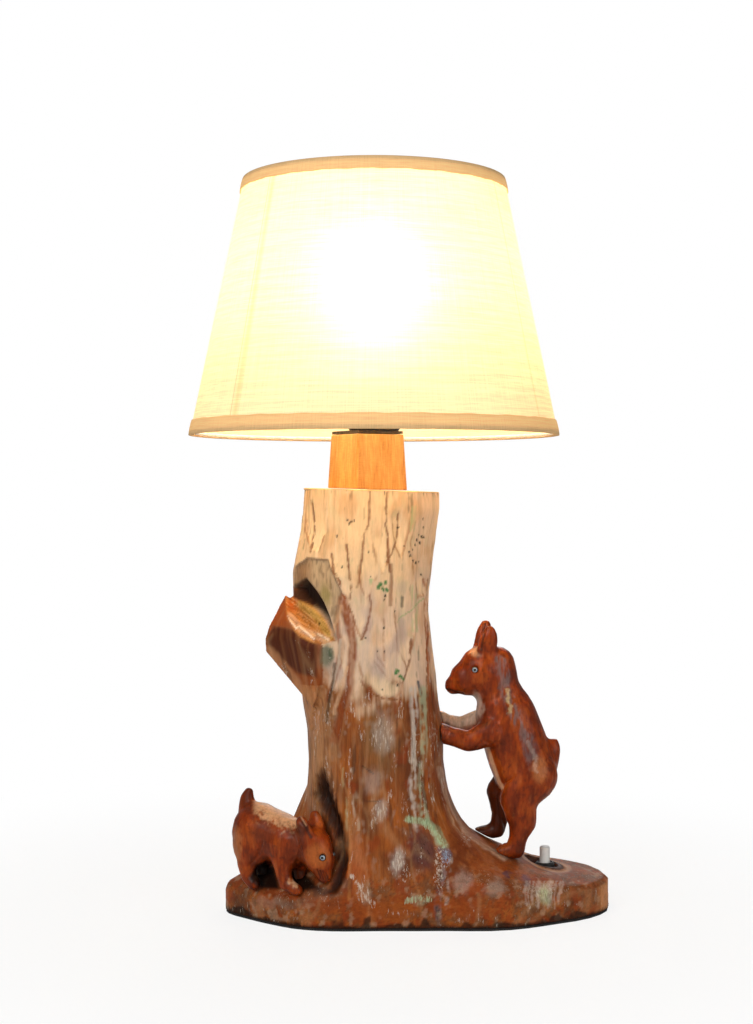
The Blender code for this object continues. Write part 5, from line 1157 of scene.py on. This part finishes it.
def make_stage():
    bm = bmesh.new()
    bmesh.ops.create_grid(bm, x_segments=1, y_segments=1, size=6)
    mesh = bpy.data.meshes.new("floor")
    bm.to_mesh(mesh)
    bm.free()
    floor = shown("floor", mesh)
    floor.data.materials.append(white_to_camera("floor_white", (0.9, 0.9, 0.9), 0.85))
    world = bpy.data.worlds.new("studio")
    scene.world = world
    world.use_nodes = True
    tree = world.node_tree
    background = tree.nodes["Background"]
    path = tree.nodes.new("ShaderNodeLightPath")
    first = tree.nodes.new("ShaderNodeMath")
    first.operation = "MAXIMUM"
    tree.links.new(path.outputs["Is Camera Ray"], first.inputs[0])
    tree.links.new(path.outputs["Is Transmission Ray"], first.inputs[1])
    amount = tree.nodes.new("ShaderNodeMapRange")
    tree.links.new(first.outputs[0], amount.inputs["Value"])
    amount.inputs["To Min"].default_value = 0.20
    amount.inputs["To Max"].default_value = 1.0
    tree.links.new(amount.outputs["Result"], background.inputs["Strength"])
    background.inputs["Color"].default_value = (1, 1, 1, 1)


def area_light(name, place, target, size, power, colour):
    data = bpy.data.lights.new(name, "AREA")
    data.shape = "DISK"
    data.size = size
    data.energy = power
    data.color = colour
    made = bpy.data.objects.new(name, data)
    made.location = place
    made.rotation_euler = (Vector(target) - Vector(place)).to_track_quat("-Z", "Y").to_euler()
    scene.collection.objects.link(made)


def make_light():
    area_light("key", (-0.9, -1.5, 1.1), (0, 0, 0.2), 0.8, 15.0, (1.0, 0.985, 0.96))
    area_light("fill", (1.3, -1.2, 0.6), (0, 0, 0.2), 1.0, 6.0, (1.0, 0.99, 0.98))
    area_light("back", (0.3, 1.4, 1.0), (0, 0, 0.2), 1.0, 7.0, (1.0, 1.0, 1.0))


def make_camera():
    data = bpy.data.cameras.new("camera")
    data.sensor_fit = "VERTICAL"
    data.sensor_height = 36.0
    data.lens = data.sensor_height * FOCAL_PIXELS / PHOTO_ROWS
    data.clip_start = 0.05
    made = bpy.data.objects.new("camera", data)
    made.location = ((PHOTO_COLUMNS / 2 - AXIS_COLUMN) * MM_PER_PIXEL * MM, -EYE_DISTANCE * MM, EYE_HEIGHT
            * MM)
    made.rotation_euler = (math.radians(90) - math.atan((PHOTO_ROWS / 2 - HORIZON_ROW) / FOCAL_PIXELS), 0, 0)
    scene.collection.objects.link(made)
    scene.camera = made


make_camera()
make_materials()
finish_cad_nodes()
make_trunk()
make_climber()
make_croucher()
make_shade()
make_stage()
make_light()
scene.view_settings.view_transform = "Standard"
